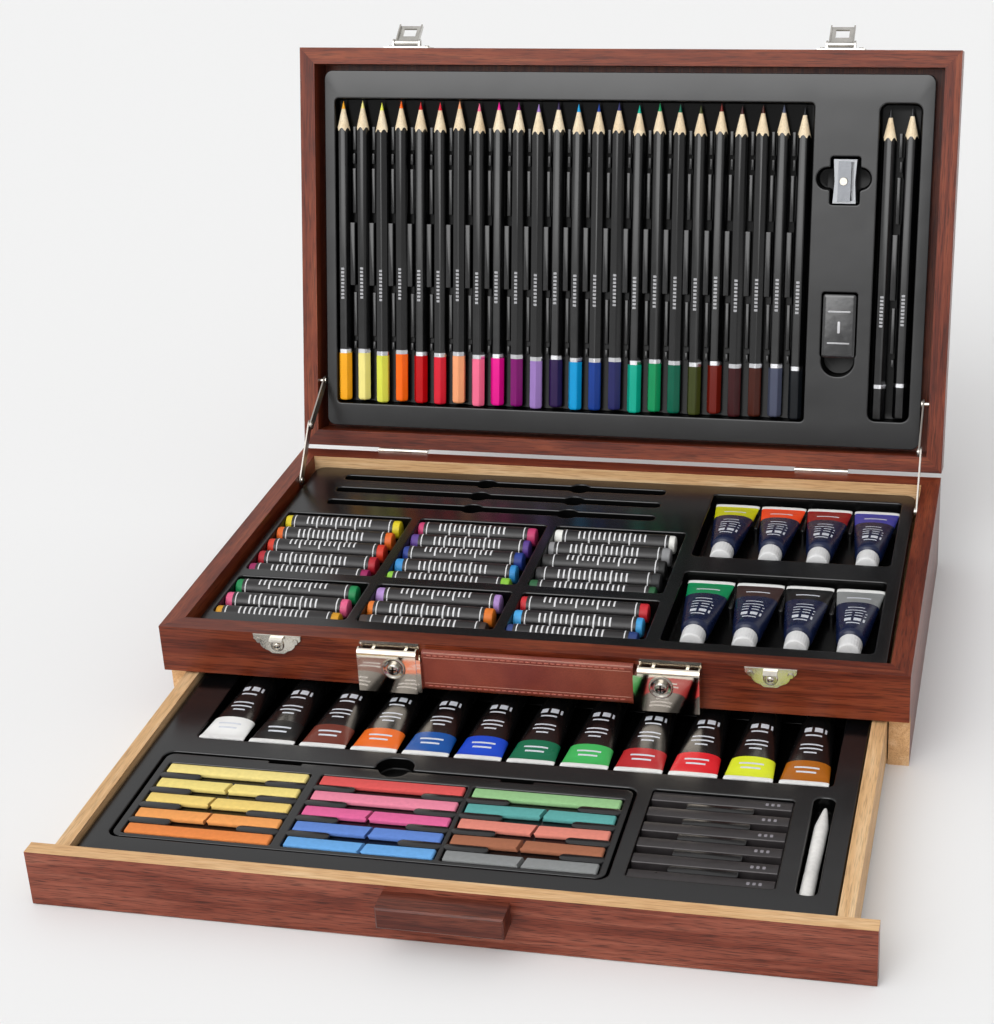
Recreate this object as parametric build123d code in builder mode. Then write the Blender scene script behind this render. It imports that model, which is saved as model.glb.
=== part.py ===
from build123d import *
import math
import os

os.makedirs("parts", exist_ok=True)

# An artist's pencil box: a hinged lid full of pencils over a tray of pastels and
# tubes, with a pull-out drawer of chalks, paints and graphite under it.
# Millimetres. X runs to the right, Y to the back and Z up. The origin is on the
# table, under the middle of the closed case. The lid stands open and the drawer
# is pulled out, as the box is displayed.

# ---------------------------------------------------------------- the case
case_w = 375.0
case_d = 230.0
base_h = 53.5
fascia_h = 25.0
rim_side = 10.1
rim_front = 11.3
front_setback = 8.0
bottom_t = 2.6
divider_t = 2.0

# ---------------------------------------------------------------- the lid
lid_open = 104.7
lid_t = 24.0
lid_rim_side = 8.7
lid_rim_end = 9.1
lid_panel_t = 3.0
lid_gap = 0.75
hinge_back = 1.4
hinge_xs = (-126.0, 120.5)
hinge_w = 30.0
latch_xs = (-124.5, 122.0)

# ---------------------------------------------------------------- the drawer
drawer_out = 166.7
drawer_front_t = 8.0
drawer_front_z = 0.5
drawer_front_h = 27.4
drawer_w = 353.5
drawer_side_t = 6.8
drawer_len = 204.0
drawer_side_z = 3.2
drawer_side_top = 27.0

# ---------------------------------------------------------------- the trays
sheet = 0.8
base_tray_top = base_h - 6.0
lid_tray_depth = 4.0
drawer_tray_top = drawer_side_top - 3.0

front_y = -case_d / 2
back_y = case_d / 2
half_w = case_w / 2

# the lid's own plane: x across, y up the lid from its hinge edge, z out of the rim
lean = math.radians(lid_open - 90.0)
lid_up = Vector(0, math.sin(lean), math.cos(lean))
lid_out = Vector(0, -math.cos(lean), math.sin(lean))
hinge_axis = Vector(0, back_y + hinge_back, base_h + lid_gap / 2)
lid_origin = hinge_axis + lid_up * hinge_back - lid_out * (lid_gap / 2)
lid_plane = Plane(origin=lid_origin, x_dir=(1, 0, 0), z_dir=lid_out)


def lid_point(x, s, h):
    """World point at x across, s up the lid and h behind the rim."""
    return lid_origin + Vector(x, 0, 0) + lid_up * s - lid_out * h


def save(piece, name):
    """Label one finished piece and write its file."""
    piece.part.label = name
    export_step(piece.part, "parts/" + name + ".step")


def from_front(distance):
    """World y of a point that far behind the face of the case."""
    return front_y + distance


# ================================================================ case woodwork
fascia_z = base_h - fascia_h

# Each side is a full-height board whose upper part is mitred into the front rim.
# Below the rim its front end stands back and stays bare.
for side, name in ((-1, "base_side_left"), (1, "base_side_right")):
    outer = side * half_w
    inner = side * (half_w - rim_side)
    with BuildPart() as board:
        with BuildSketch(Plane.XY.offset(fascia_z)):
            with BuildLine():
                Polyline(
                    (outer, front_y),
                    (inner, front_y + rim_front),
                    (inner, back_y - rim_front),
                    (outer, back_y),
                    close=True,
                )
            make_face()
        extrude(amount=fascia_h)
        with BuildSketch(Plane.XY):
            with BuildLine():
                Polyline(
                    (outer, front_y + front_setback),
                    (inner, front_y + front_setback),
                    (inner, back_y - rim_front),
                    (outer, back_y),
                    close=True,
                )
            make_face()
        extrude(amount=fascia_z)
    save(board, name)

with BuildPart() as base_back_panel:
    with BuildSketch(Plane.XY):
        with BuildLine():
            Polyline(
                (-half_w, back_y),
                (half_w, back_y),
                (half_w - rim_side, back_y - rim_front),
                (-half_w + rim_side, back_y - rim_front),
                close=True,
            )
        make_face()
    extrude(amount=base_h)
save(base_back_panel, "base_back_panel")

with BuildPart() as base_fascia:
    with BuildSketch(Plane.XY.offset(fascia_z)):
        with BuildLine():
            Polyline(
                (-half_w, front_y),
                (half_w, front_y),
                (half_w - rim_side, front_y + rim_front),
                (-half_w + rim_side, front_y + rim_front),
                close=True,
            )
        make_face()
    extrude(amount=fascia_h)
save(base_fascia, "base_fascia")

inside_w = case_w - 2 * rim_side
with BuildPart() as base_bottom_panel:
    with BuildSketch(Plane.XY):
        with Locations((0, (front_setback - rim_front) / 2 + 0.3)):
            Rectangle(inside_w, case_d - front_setback - rim_front - 0.6)
    extrude(amount=bottom_t)
save(base_bottom_panel, "base_bottom_panel")

with BuildPart() as divider_panel:
    with BuildSketch(Plane.XY.offset(fascia_z)):
        Rectangle(inside_w, case_d - 2 * rim_front)
    extrude(amount=divider_t)
save(divider_panel, "divider_panel")


# ================================================================ formed trays
def formed_tray(plane, outline, corner, skirt, wells):
    """A thin formed sheet: a flat top, a skirt round it and rounded pockets.

    outline is (x low, x high, y low, y high) on the plane, which is the tray's
    top. Each well is (x low, x high, y low, y high, depth, corner radius).
    """
    x0, x1, y0, y1 = outline
    with BuildPart() as tray:
        with BuildSketch(plane):
            with Locations(((x0 + x1) / 2, (y0 + y1) / 2)):
                RectangleRounded(x1 - x0, y1 - y0, corner)
        extrude(amount=-skirt)
        with BuildSketch(plane.offset(-sheet)):
            with Locations(((x0 + x1) / 2, (y0 + y1) / 2)):
                RectangleRounded(
                    x1 - x0 - 2 * sheet, y1 - y0 - 2 * sheet, corner - sheet
                )
        extrude(amount=-skirt, mode=Mode.SUBTRACT)
        for wx0, wx1, wy0, wy1, depth, radius in wells:
            with BuildSketch(plane):
                with Locations(((wx0 + wx1) / 2, (wy0 + wy1) / 2)):
                    RectangleRounded(
                        wx1 - wx0 + 2 * sheet, wy1 - wy0 + 2 * sheet, radius + sheet
                    )
            extrude(amount=-(depth + sheet))
        for wx0, wx1, wy0, wy1, depth, radius in wells:
            with BuildSketch(plane):
                with Locations(((wx0 + wx1) / 2, (wy0 + wy1) / 2)):
                    RectangleRounded(wx1 - wx0, wy1 - wy0, radius)
            extrude(amount=-depth, mode=Mode.SUBTRACT)
    return tray


# ---------------------------------------------------------------- upper tray
pastel_d = 10.8
pastel_len = 67.0
pastel_pitch = 15.4
pastel_z = 42.5
pastel_well_xs = (-135.0, -57.5, 20.0)
pastel_well_w = 73.0
pastel_shift = -2.2
pastel_rear_y = from_front(148.0)
pastel_front_y = from_front(67.0)
well_floor = pastel_z - pastel_d / 2 - 0.1
pastel_depth = base_tray_top - well_floor

tube_well = (62.5, 168.5)
brush_slot_w = 8.0
brush_slot_ys = (204.4, 187.6, 170.4)
brush_slot_x = (-154.5, 36.2)
brush_depth = 7.5

base_wells = []
for slot_y in brush_slot_ys:
    y_mid = from_front(slot_y)
    base_wells.append(
        (brush_slot_x[0], brush_slot_x[1], y_mid - 4, y_mid + 4, brush_depth, 3.2)
    )
for dimple_x in (-68.7, -13.8):
    for dimple_y in brush_slot_ys:
        y_mid = from_front(dimple_y)
        base_wells.append(
            (dimple_x - 6.5, dimple_x + 6.5, y_mid - 6, y_mid + 6, 5.0, 5.6)
        )
for well_x in pastel_well_xs:
    base_wells.append(
        (
            well_x - pastel_well_w / 2,
            well_x + pastel_well_w / 2,
            pastel_rear_y - 4 * pastel_pitch - 6.2,
            pastel_rear_y + 6.6,
            pastel_depth,
            1.6,
        )
    )
    base_wells.append(
        (
            well_x - pastel_well_w / 2,
            well_x + pastel_well_w / 2,
            pastel_front_y - 2 * pastel_pitch - 6.2,
            pastel_front_y + 6.2,
            pastel_depth,
            1.6,
        )
    )
for well_y in ((126.0, 206.6), (30.0, 108.8)):
    base_wells.append(
        (
            tube_well[0],
            tube_well[1],
            from_front(well_y[0]),
            from_front(well_y[1]),
            pastel_depth,
            3.5,
        )
    )

base_tray = formed_tray(
    Plane.XY.offset(base_tray_top),
    (-174.8, 174.8, from_front(13.0), from_front(217.2)),
    6.0,
    base_tray_top - fascia_z - divider_t,
    base_wells,
)
save(base_tray, "base_tray")

# Oil pastels lie across the case in columns: five in each rear well and three in
# each front well, every stick a plain round bar in its sleeve.
for well_x, name in zip(
    pastel_well_xs, ("oil_pastels_left", "oil_pastels_middle", "oil_pastels_right")
):
    with BuildPart() as pastels:
        rows = [pastel_rear_y - i * pastel_pitch for i in range(5)]
        rows += [pastel_front_y - i * pastel_pitch for i in range(3)]
        x_start = well_x + pastel_shift - pastel_len / 2
        with BuildSketch(Plane.YZ.offset(x_start)):
            with Locations(*[(row, pastel_z) for row in rows]):
                Circle(pastel_d / 2)
        extrude(amount=pastel_len)
    save(pastels, name)


def paint_tube(cap_front, length, crimp_w, shoulder_r, cap_r, cap_len):
    """Body and cap of one collapsible tube lying along +Y, its cap to the front.

    The body runs from a flat folded crimp at the back to a round shoulder. Both
    lie about the Y axis at height 0.
    """
    shoulder_y = cap_front + cap_len + 1.2
    crimp_y = cap_front + length
    with BuildPart() as body:
        with BuildSketch(Plane.XZ.offset(-(shoulder_y + 2.6))):
            Circle(shoulder_r)
        with BuildSketch(Plane.XZ.offset(-(shoulder_y + 0.45 * length))):
            Ellipse(crimp_w * 0.41, shoulder_r * 0.74)
        with BuildSketch(Plane.XZ.offset(-(crimp_y - 4.6))):
            Ellipse(crimp_w / 2 - 0.3, 0.95)
        loft()
        with BuildSketch(Plane.XZ.offset(-(shoulder_y + 2.6))):
            Circle(shoulder_r)
        extrude(amount=2.6, taper=34)
        with BuildSketch(Plane.XZ.offset(-(crimp_y - 5.0))):
            Rectangle(crimp_w, 1.5)
        extrude(amount=-5.0)
    with BuildPart() as cap:
        with BuildSketch(Plane.XZ.offset(-(cap_front + cap_len))):
            Circle(cap_r)
        extrude(amount=cap_len, taper=3)
        with BuildSketch(Plane.XZ.offset(-(cap_front + cap_len + 1.2))):
            Circle(cap_r * 0.62)
        extrude(amount=1.3)
    return body.part, cap.part


# ---------------------------------------------------------------- water colours
# Eight small tubes in two rows, crimps to the back.
watercolour_len = 68.8
water_z = well_floor + 7.3
water_xs = (78.0, 103.8, 129.3, 155.2)
water_rows = (from_front(129.8), from_front(34.2))
water_body, water_cap = paint_tube(0.0, watercolour_len, 24.0, 7.2, 6.0, 10.5)
water_spots = [(x, y, water_z) for y in water_rows for x in water_xs]

with BuildPart() as watercolour_tubes:
    with Locations(*water_spots):
        add(water_body)
save(watercolour_tubes, "watercolour_tubes")

with BuildPart() as watercolour_caps:
    with Locations(*water_spots):
        add(water_cap)
save(watercolour_caps, "watercolour_caps")

# ================================================================ lid woodwork
lid_half = case_w / 2
for side, name in ((-1, "lid_side_left"), (1, "lid_side_right")):
    outer = side * lid_half
    inner = side * (lid_half - lid_rim_side)
    with BuildPart() as stile:
        with BuildSketch(lid_plane):
            with BuildLine():
                Polyline(
                    (outer, 0),
                    (inner, lid_rim_end),
                    (inner, case_d - lid_rim_end),
                    (outer, case_d),
                    close=True,
                )
            make_face()
        extrude(amount=-lid_t)
    save(stile, name)

for low, high, name in (
    (0.0, lid_rim_end, "lid_back_rail"),
    (case_d, case_d - lid_rim_end, "lid_front_rail"),
):
    with BuildPart() as rail:
        with BuildSketch(lid_plane):
            with BuildLine():
                Polyline(
                    (-lid_half, low),
                    (lid_half, low),
                    (lid_half - lid_rim_side, high),
                    (-lid_half + lid_rim_side, high),
                    close=True,
                )
            make_face()
        extrude(amount=-lid_t)
    save(rail, name)

with BuildPart() as lid_top_panel:
    with BuildSketch(lid_plane.offset(-(lid_t - 0.5 - lid_panel_t))):
        with Locations((0, case_d / 2)):
            Rectangle(case_w - 2 * lid_rim_side, case_d - 2 * lid_rim_end)
    extrude(amount=-lid_panel_t)
save(lid_top_panel, "lid_top_panel")

# ---------------------------------------------------------------- lid tray
pencil_d = 7.0
pencil_h = 8.0
pencil_len = 174.0
pencil_pitch = 11.62
pencil_first_x = -164.0
pencil_foot = 26.6
pencil_floor = pencil_h + pencil_d / 2 + 0.4
sketch_xs = (150.2, 162.0)
sharpener_x = 127.0
eraser_x = 127.0

lid_wells = [
    (-168.6, 109.5, 24.6, 202.4, pencil_floor - lid_tray_depth, 3.0),
    (144.0, 168.2, 26.6, 202.4, pencil_floor - lid_tray_depth, 5.0),
    (118.3, 135.8, 146.2, 173.6, 9.0, 2.0),
    (114.6, 138.0, 155.0, 167.0, 7.0, 5.6),
    (116.2, 137.2, 62.0, 99.2, 10.6, 2.0),
    (116.8, 136.6, 51.0, 70.0, 8.0, 9.3),
]
lid_tray_shell = formed_tray(
    lid_plane.offset(-lid_tray_depth),
    (-174.2, 174.2, 11.8, 217.4),
    5.0,
    lid_t - 0.5 - lid_panel_t - lid_tray_depth,
    lid_wells,
)

# Raised ribs between the pencils: short blocks near each end and longer bars
# along the middle, so that every pencil lies in its own channel.
rib_w = pencil_pitch - pencil_d - 1.2
rib_bands = (
    (172.5, 13.5, 5.2),
    (164.5, 6.3, 2.0),
    (136.3, 25.9, 5.0),
    (94.4, 36.7, 2.4),
    (64.5, 26.0, 5.0),
    (57.3, 4.7, 2.2),
)
with BuildPart() as lid_tray:
    add(lid_tray_shell.part)
    for rib_s, rib_len, rib_drop in rib_bands:
        top = lid_tray_depth + rib_drop
        with BuildSketch(lid_plane.offset(-pencil_floor)):
            for i in range(25):
                rib_x = pencil_first_x + (i - 0.5) * pencil_pitch
                if -168.0 < rib_x < 109.0:
                    with Locations((rib_x, rib_s + rib_len / 2)):
                        Rectangle(rib_w, rib_len)
            with Locations(((sketch_xs[0] + sketch_xs[1]) / 2, rib_s + rib_len / 2)):
                Rectangle(rib_w, rib_len)
        extrude(amount=pencil_floor - top)
save(lid_tray, "lid_tray")


def pencil_set(xs, feet, length, name):
    """Six-sided pencils on the lid, sharpened ends up the lid."""
    with BuildPart() as pencils:
        for x, foot in zip(xs, feet):
            with BuildSketch(
                Plane(
                    origin=lid_point(x, foot, pencil_h), x_dir=(1, 0, 0), z_dir=lid_up
                )
            ):
                RegularPolygon(pencil_d / 2, 6, major_radius=False)
            extrude(amount=length - 17.0)
            with BuildSketch(
                Plane(
                    origin=lid_point(x, foot + length - 17.0, pencil_h),
                    x_dir=(1, 0, 0),
                    z_dir=lid_up,
                )
            ):
                Circle(pencil_d / 2)
            with BuildSketch(
                Plane(
                    origin=lid_point(x, foot + length, pencil_h),
                    x_dir=(1, 0, 0),
                    z_dir=lid_up,
                )
            ):
                Circle(0.35)
            loft()
    save(pencils, name)


pencil_names = (
    "coloured_pencils_left",
    "coloured_pencils_middle",
    "coloured_pencils_right",
)
for group, name in enumerate(pencil_names):
    numbers = [group * 8 + i for i in range(8)]
    pencil_set(
        [pencil_first_x + n * pencil_pitch for n in numbers],
        [pencil_foot + 0.7 * math.sin(2.4 * n) for n in numbers],
        pencil_len,
        name,
    )
pencil_set(sketch_xs, (28.0, 29.0), 171.0, "sketch_pencils")

# ---------------------------------------------------------------- sharpener
# A pressed metal wedge with a slanting face, its blade held by one screw.
with BuildPart() as sharpener_body:
    with BuildSketch(lid_plane.offset(-12.4)):
        with BuildLine():
            Polyline(
                (sharpener_x - 6.4, 147.6),
                (sharpener_x + 6.4, 147.6),
                (sharpener_x + 5.6, 159.6),
                (sharpener_x + 6.4, 171.6),
                (sharpener_x - 6.4, 171.6),
                (sharpener_x - 5.6, 159.6),
                close=True,
            )
        make_face()
    extrude(amount=9.4)
    with BuildSketch(
        Plane(
            origin=lid_point(sharpener_x + 1.4, 147.0, 8.6),
            x_dir=(1, 0, 0),
            z_dir=lid_up,
        )
    ):
        Circle(3.6)
    with BuildSketch(
        Plane(
            origin=lid_point(sharpener_x + 1.4, 169.0, 8.6),
            x_dir=(1, 0, 0),
            z_dir=lid_up,
        )
    ):
        Circle(1.0)
    loft(mode=Mode.SUBTRACT)
    with BuildSketch(lid_plane.offset(-2.9)):
        with Locations((sharpener_x + 2.4, 159.6)):
            Rectangle(5.0, 21.0)
    extrude(amount=-3.4, mode=Mode.SUBTRACT)
save(sharpener_body, "sharpener_body")

with BuildPart() as sharpener_blade:
    with BuildSketch(lid_plane.offset(-2.95)):
        with Locations((sharpener_x - 0.2, 159.6)):
            Rectangle(7.0, 22.0)
    extrude(amount=0.6)
save(sharpener_blade, "sharpener_blade")

# ---------------------------------------------------------------- eraser
with BuildPart() as eraser:
    with BuildSketch(lid_plane.offset(-14.2)):
        with Locations((eraser_x - 0.2, 79.9)):
            RectangleRounded(18.4, 35.6, 1.2)
    extrude(amount=11.0)
save(eraser, "eraser")

# ================================================================ hinges
# Two butt hinges on the back of the case. Each lid leaf has the middle knuckle
# and each base leaf the two outer ones, round a pin that stays with the base.
knuckle_r = 1.33
pin_r = 0.6
bore_r = 0.66
leaf_t = 0.8
leaf_drop = 11.0
knuckle_gap = 0.3
knuckle_len = (hinge_w - 2 * knuckle_gap) / 3

with BuildPart() as base_hinge_leaves:
    for hinge_x in hinge_xs:
        starts = (hinge_x - hinge_w / 2, hinge_x + hinge_w / 2 - knuckle_len)
        for start in starts:
            with BuildSketch(Plane.YZ.offset(start)):
                with Locations((hinge_axis.Y, hinge_axis.Z)):
                    Circle(knuckle_r)
                with Locations((back_y + 0.07 + leaf_t / 2, base_h - 1.0)):
                    Rectangle(leaf_t, 2.9)
            extrude(amount=knuckle_len)
        with BuildSketch(Plane.XZ.offset(-(back_y + 0.07))):
            with Locations((hinge_x, base_h - 2.0 - (leaf_drop - 2.0) / 2)):
                Rectangle(hinge_w, leaf_drop - 2.0)
        extrude(amount=-leaf_t)
        with BuildSketch(Plane.YZ.offset(hinge_x - hinge_w / 2)):
            with Locations((hinge_axis.Y, hinge_axis.Z)):
                Circle(pin_r)
        extrude(amount=hinge_w, mode=Mode.SUBTRACT)
save(base_hinge_leaves, "base_hinge_leaves")

with BuildPart() as hinge_pins:
    for hinge_x in hinge_xs:
        with BuildSketch(Plane.YZ.offset(hinge_x - hinge_w / 2)):
            with Locations((hinge_axis.Y, hinge_axis.Z)):
                Circle(pin_r)
        extrude(amount=hinge_w)
save(hinge_pins, "hinge_pins")

with BuildPart() as lid_hinge_leaves:
    for hinge_x in hinge_xs:
        middle = knuckle_len
        with BuildSketch(Plane.YZ.offset(hinge_x - middle / 2)):
            with Locations((hinge_axis.Y, hinge_axis.Z)):
                Circle(knuckle_r)
        extrude(amount=middle)
        with BuildSketch(lid_plane.offset(0.5)):
            with Locations((hinge_x, -0.07 - leaf_t / 2)):
                Rectangle(middle, leaf_t)
        extrude(amount=-3.0)
        with BuildSketch(lid_plane.offset(-2.2)):
            with Locations((hinge_x, -0.07 - leaf_t / 2)):
                Rectangle(hinge_w, leaf_t)
        extrude(amount=-(leaf_drop - 2.2))
        with BuildSketch(Plane.YZ.offset(hinge_x - hinge_w / 2)):
            with Locations((hinge_axis.Y, hinge_axis.Z)):
                Circle(bore_r)
        extrude(amount=hinge_w, mode=Mode.SUBTRACT)
save(lid_hinge_leaves, "lid_hinge_leaves")

# ================================================================ folding stays
# A two-link stay on each side folds flat between the wall and the trays. The
# lower link pivots on the base wall and the upper link on the lid's wall.
link_len = 34.4
link_w = 5.6
link_t = 0.8
lower_pivot = Vector(0, from_front(192.0), base_h - 4.0)
upper_pivot = lid_point(0, 38.0, 4.0)
lower_layer = case_w / 2 - rim_side - 1.1
upper_layer = lower_layer - 1.1
between = upper_pivot - lower_pivot
reach = between.length
rise = math.sqrt(link_len**2 - (reach / 2) ** 2)
across = Vector(0, -between.Z, between.Y) * (1 / reach)
elbow = lower_pivot + between * 0.5 + across * rise
stud_r = 1.3


def link_outline(start, end):
    """Closed outline of a link between two pivots, as a slot with an eye at its foot."""
    middle = (start + end) * 0.5
    along = end - start
    angle = math.degrees(math.atan2(along.Z, along.Y))
    with Locations(Location((middle.Y, middle.Z, 0), (0, 0, angle))):
        SlotCenterToCenter(along.length, link_w)
    with Locations((start.Y, start.Z)):
        Circle(stud_r + 0.1, mode=Mode.SUBTRACT)


for side, tag in ((-1, "left"), (1, "right")):
    low_x = lower_layer if side > 0 else -(lower_layer + link_t)
    up_x = upper_layer if side > 0 else -(upper_layer + link_t)
    with BuildPart() as stay_lower:
        with BuildSketch(Plane.YZ.offset(low_x)):
            link_outline(lower_pivot, elbow)
        extrude(amount=link_t)
    save(stay_lower, "stay_lower_" + tag)
    with BuildPart() as stay_upper:
        with BuildSketch(Plane.YZ.offset(up_x)):
            link_outline(upper_pivot, elbow)
        extrude(amount=link_t)
        rivet_x = upper_layer - 0.5 if side > 0 else -upper_layer
        with BuildSketch(Plane.YZ.offset(rivet_x)):
            with Locations((elbow.Y, elbow.Z)):
                Circle(1.9)
        extrude(amount=0.5)
    save(stay_upper, "stay_upper_" + tag)

# A headed stud holds each link to its wall.
with BuildPart() as base_stay_studs:
    for side in (-1, 1):
        wall = side * (case_w / 2 - rim_side)
        head = side * (lower_layer - 0.2)
        with BuildSketch(Plane.YZ.offset(min(wall, head))):
            with Locations((lower_pivot.Y, lower_pivot.Z)):
                Circle(stud_r)
        extrude(amount=abs(wall - head))
        flat = head if side < 0 else head - 0.6
        with BuildSketch(Plane.YZ.offset(flat)):
            with Locations((lower_pivot.Y, lower_pivot.Z)):
                Circle(2.4)
        extrude(amount=0.6)
save(base_stay_studs, "base_stay_studs")

with BuildPart() as lid_stay_studs:
    for side in (-1, 1):
        wall = side * (case_w / 2 - lid_rim_side)
        head = side * (upper_layer - 0.2)
        with BuildSketch(Plane.YZ.offset(min(wall, head))):
            with Locations((upper_pivot.Y, upper_pivot.Z)):
                Circle(stud_r)
        extrude(amount=abs(wall - head))
        flat = head if side < 0 else head - 0.5
        with BuildSketch(Plane.YZ.offset(flat)):
            with Locations((upper_pivot.Y, upper_pivot.Z)):
                Circle(2.4)
        extrude(amount=0.5)
save(lid_stay_studs, "lid_stay_studs")

# ================================================================ catches
# Each catch is a D-shaped plate at the top of the front board with a pressed
# hook in its middle, held by two small screws.
catch_w = 25.2
catch_h = 10.8
catch_top = base_h - 0.3
catch_t = 0.9


def catch(x_mid, name):
    """One catch plate with its hook."""
    with BuildPart() as plate:
        with BuildSketch(Plane.XZ.offset(-front_y)):
            with BuildLine():
                Polyline(
                    (x_mid + catch_w / 2, catch_top - 5.2),
                    (x_mid + catch_w / 2, catch_top),
                    (x_mid - catch_w / 2, catch_top),
                    (x_mid - catch_w / 2, catch_top - 5.2),
                )
                ThreePointArc(
                    (x_mid - catch_w / 2, catch_top - 5.2),
                    (x_mid, catch_top - catch_h),
                    (x_mid + catch_w / 2, catch_top - 5.2),
                )
            make_face()
        extrude(amount=catch_t)
        with BuildSketch(Plane.YZ.offset(x_mid - 3.2)):
            with BuildLine():
                Polyline(
                    (front_y - catch_t, catch_top - 1.0),
                    (front_y - catch_t - 1.0, catch_top - 1.0),
                    (front_y - catch_t - 2.6, catch_top - 4.8),
                    (front_y - catch_t - 2.6, catch_top - 6.2),
                    (front_y - catch_t, catch_top - 6.2),
                    close=True,
                )
            make_face()
        extrude(amount=6.4)
    save(plate, name)


catch(latch_xs[0], "catch_left")
catch(latch_xs[1], "catch_right")

# Lid side of each latch: a plate on the lid's front rail with two curled ears,
# and a hasp that turns between them.
hasp_pivot_h = 4.0
hasp_pivot_s = case_d + 2.8
hasp_lean = math.radians(45.0)
hasp_w = 13.6
hasp_len = 13.9
hasp_t = 1.0
with BuildPart() as latch_plates:
    for latch_x in latch_xs:
        with BuildSketch(lid_plane.offset(-1.4)):
            with Locations((latch_x, case_d + 0.4)):
                Rectangle(26.0, 0.8)
        extrude(amount=-13.0)
        for ear_x in (latch_x - hasp_w / 2 - 1.3, latch_x + hasp_w / 2 + 0.3):
            with BuildSketch(
                Plane(
                    origin=lid_point(ear_x, 0, 0), x_dir=lid_up, z_dir=(1, 0, 0)
                )
            ):
                with Locations((hasp_pivot_s, -hasp_pivot_h)):
                    Circle(2.2)
                with Locations((case_d + 1.5, -hasp_pivot_h)):
                    Rectangle(3.0, 4.4)
                with Locations((hasp_pivot_s, -hasp_pivot_h)):
                    Circle(1.05, mode=Mode.SUBTRACT)
            extrude(amount=1.0)
save(latch_plates, "latch_plates")


def hasp(latch_x, name):
    """A hasp that leans back on its pin, with folded cheeks and a window for the hook."""
    along = lid_up * math.cos(hasp_lean) - lid_out * math.sin(hasp_lean)
    plane = Plane(
        origin=lid_point(latch_x - hasp_w / 2, hasp_pivot_s, hasp_pivot_h),
        x_dir=along,
        z_dir=(1, 0, 0),
    )
    with BuildPart() as leaf:
        with BuildSketch(plane):
            Circle(1.6)
            with Locations((hasp_len / 2, -0.6)):
                Rectangle(hasp_len, hasp_t)
        extrude(amount=hasp_w)
        for cheek in (0.0, hasp_w - 0.8):
            with BuildSketch(plane.offset(cheek)):
                with Locations((hasp_len / 2 + 0.6, 0.1)):
                    Rectangle(hasp_len - 1.2, 2.4)
            extrude(amount=0.8)
        with BuildSketch(plane.offset(-1.5)):
            Circle(1.0)
        extrude(amount=hasp_w + 3.0)
        with BuildSketch(plane.offset((hasp_w - 7.4) / 2)):
            with Locations((8.65, -0.6)):
                Rectangle(6.1, 3.0)
        extrude(amount=7.4, mode=Mode.SUBTRACT)
    save(leaf, name)


hasp(latch_xs[0], "hasp_left")
hasp(latch_xs[1], "hasp_right")

# ================================================================ carrying handle
# A leather grip hangs between two bright covers. Each cover turns on a rod held
# by a pair of lugs, which stand off a plate on the front board.
handle_x = 4.0
cover_w = 30.0
cover_xs = (handle_x - 70.0, handle_x + 70.0)
rod_y = front_y - 4.9
rod_z = 49.5
cover_r = 3.0
cover_wall = 0.7
cover_bottom = 29.4
rod_r = 1.2

collar_w = 2.2
roll_end = math.radians(112.0)

with BuildPart() as handle_brackets:
    for cover_x in cover_xs:
        with BuildSketch(Plane.YZ.offset(cover_x - cover_w / 2)):
            with BuildLine():
                Polyline(
                    (front_y, 43.5),
                    (front_y, base_h - 0.1),
                    (front_y - 2.6, base_h - 0.1),
                    (front_y - 2.6, base_h - 0.7),
                    (front_y - 0.9, base_h - 0.7),
                    (front_y - 0.9, 43.5),
                    close=True,
                )
            make_face()
        extrude(amount=cover_w)
        for lug_x in (cover_x - 9.0, cover_x + 7.6):
            with BuildSketch(Plane.YZ.offset(lug_x)):
                with Locations((rod_y, rod_z)):
                    Circle(2.0)
                with Locations(((rod_y + front_y - 0.5) / 2, rod_z)):
                    Rectangle(front_y - 0.5 - rod_y, 1.4)
                with Locations((rod_y, rod_z)):
                    Circle(rod_r + 0.08, mode=Mode.SUBTRACT)
            extrude(amount=1.4)
save(handle_brackets, "handle_brackets")


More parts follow.
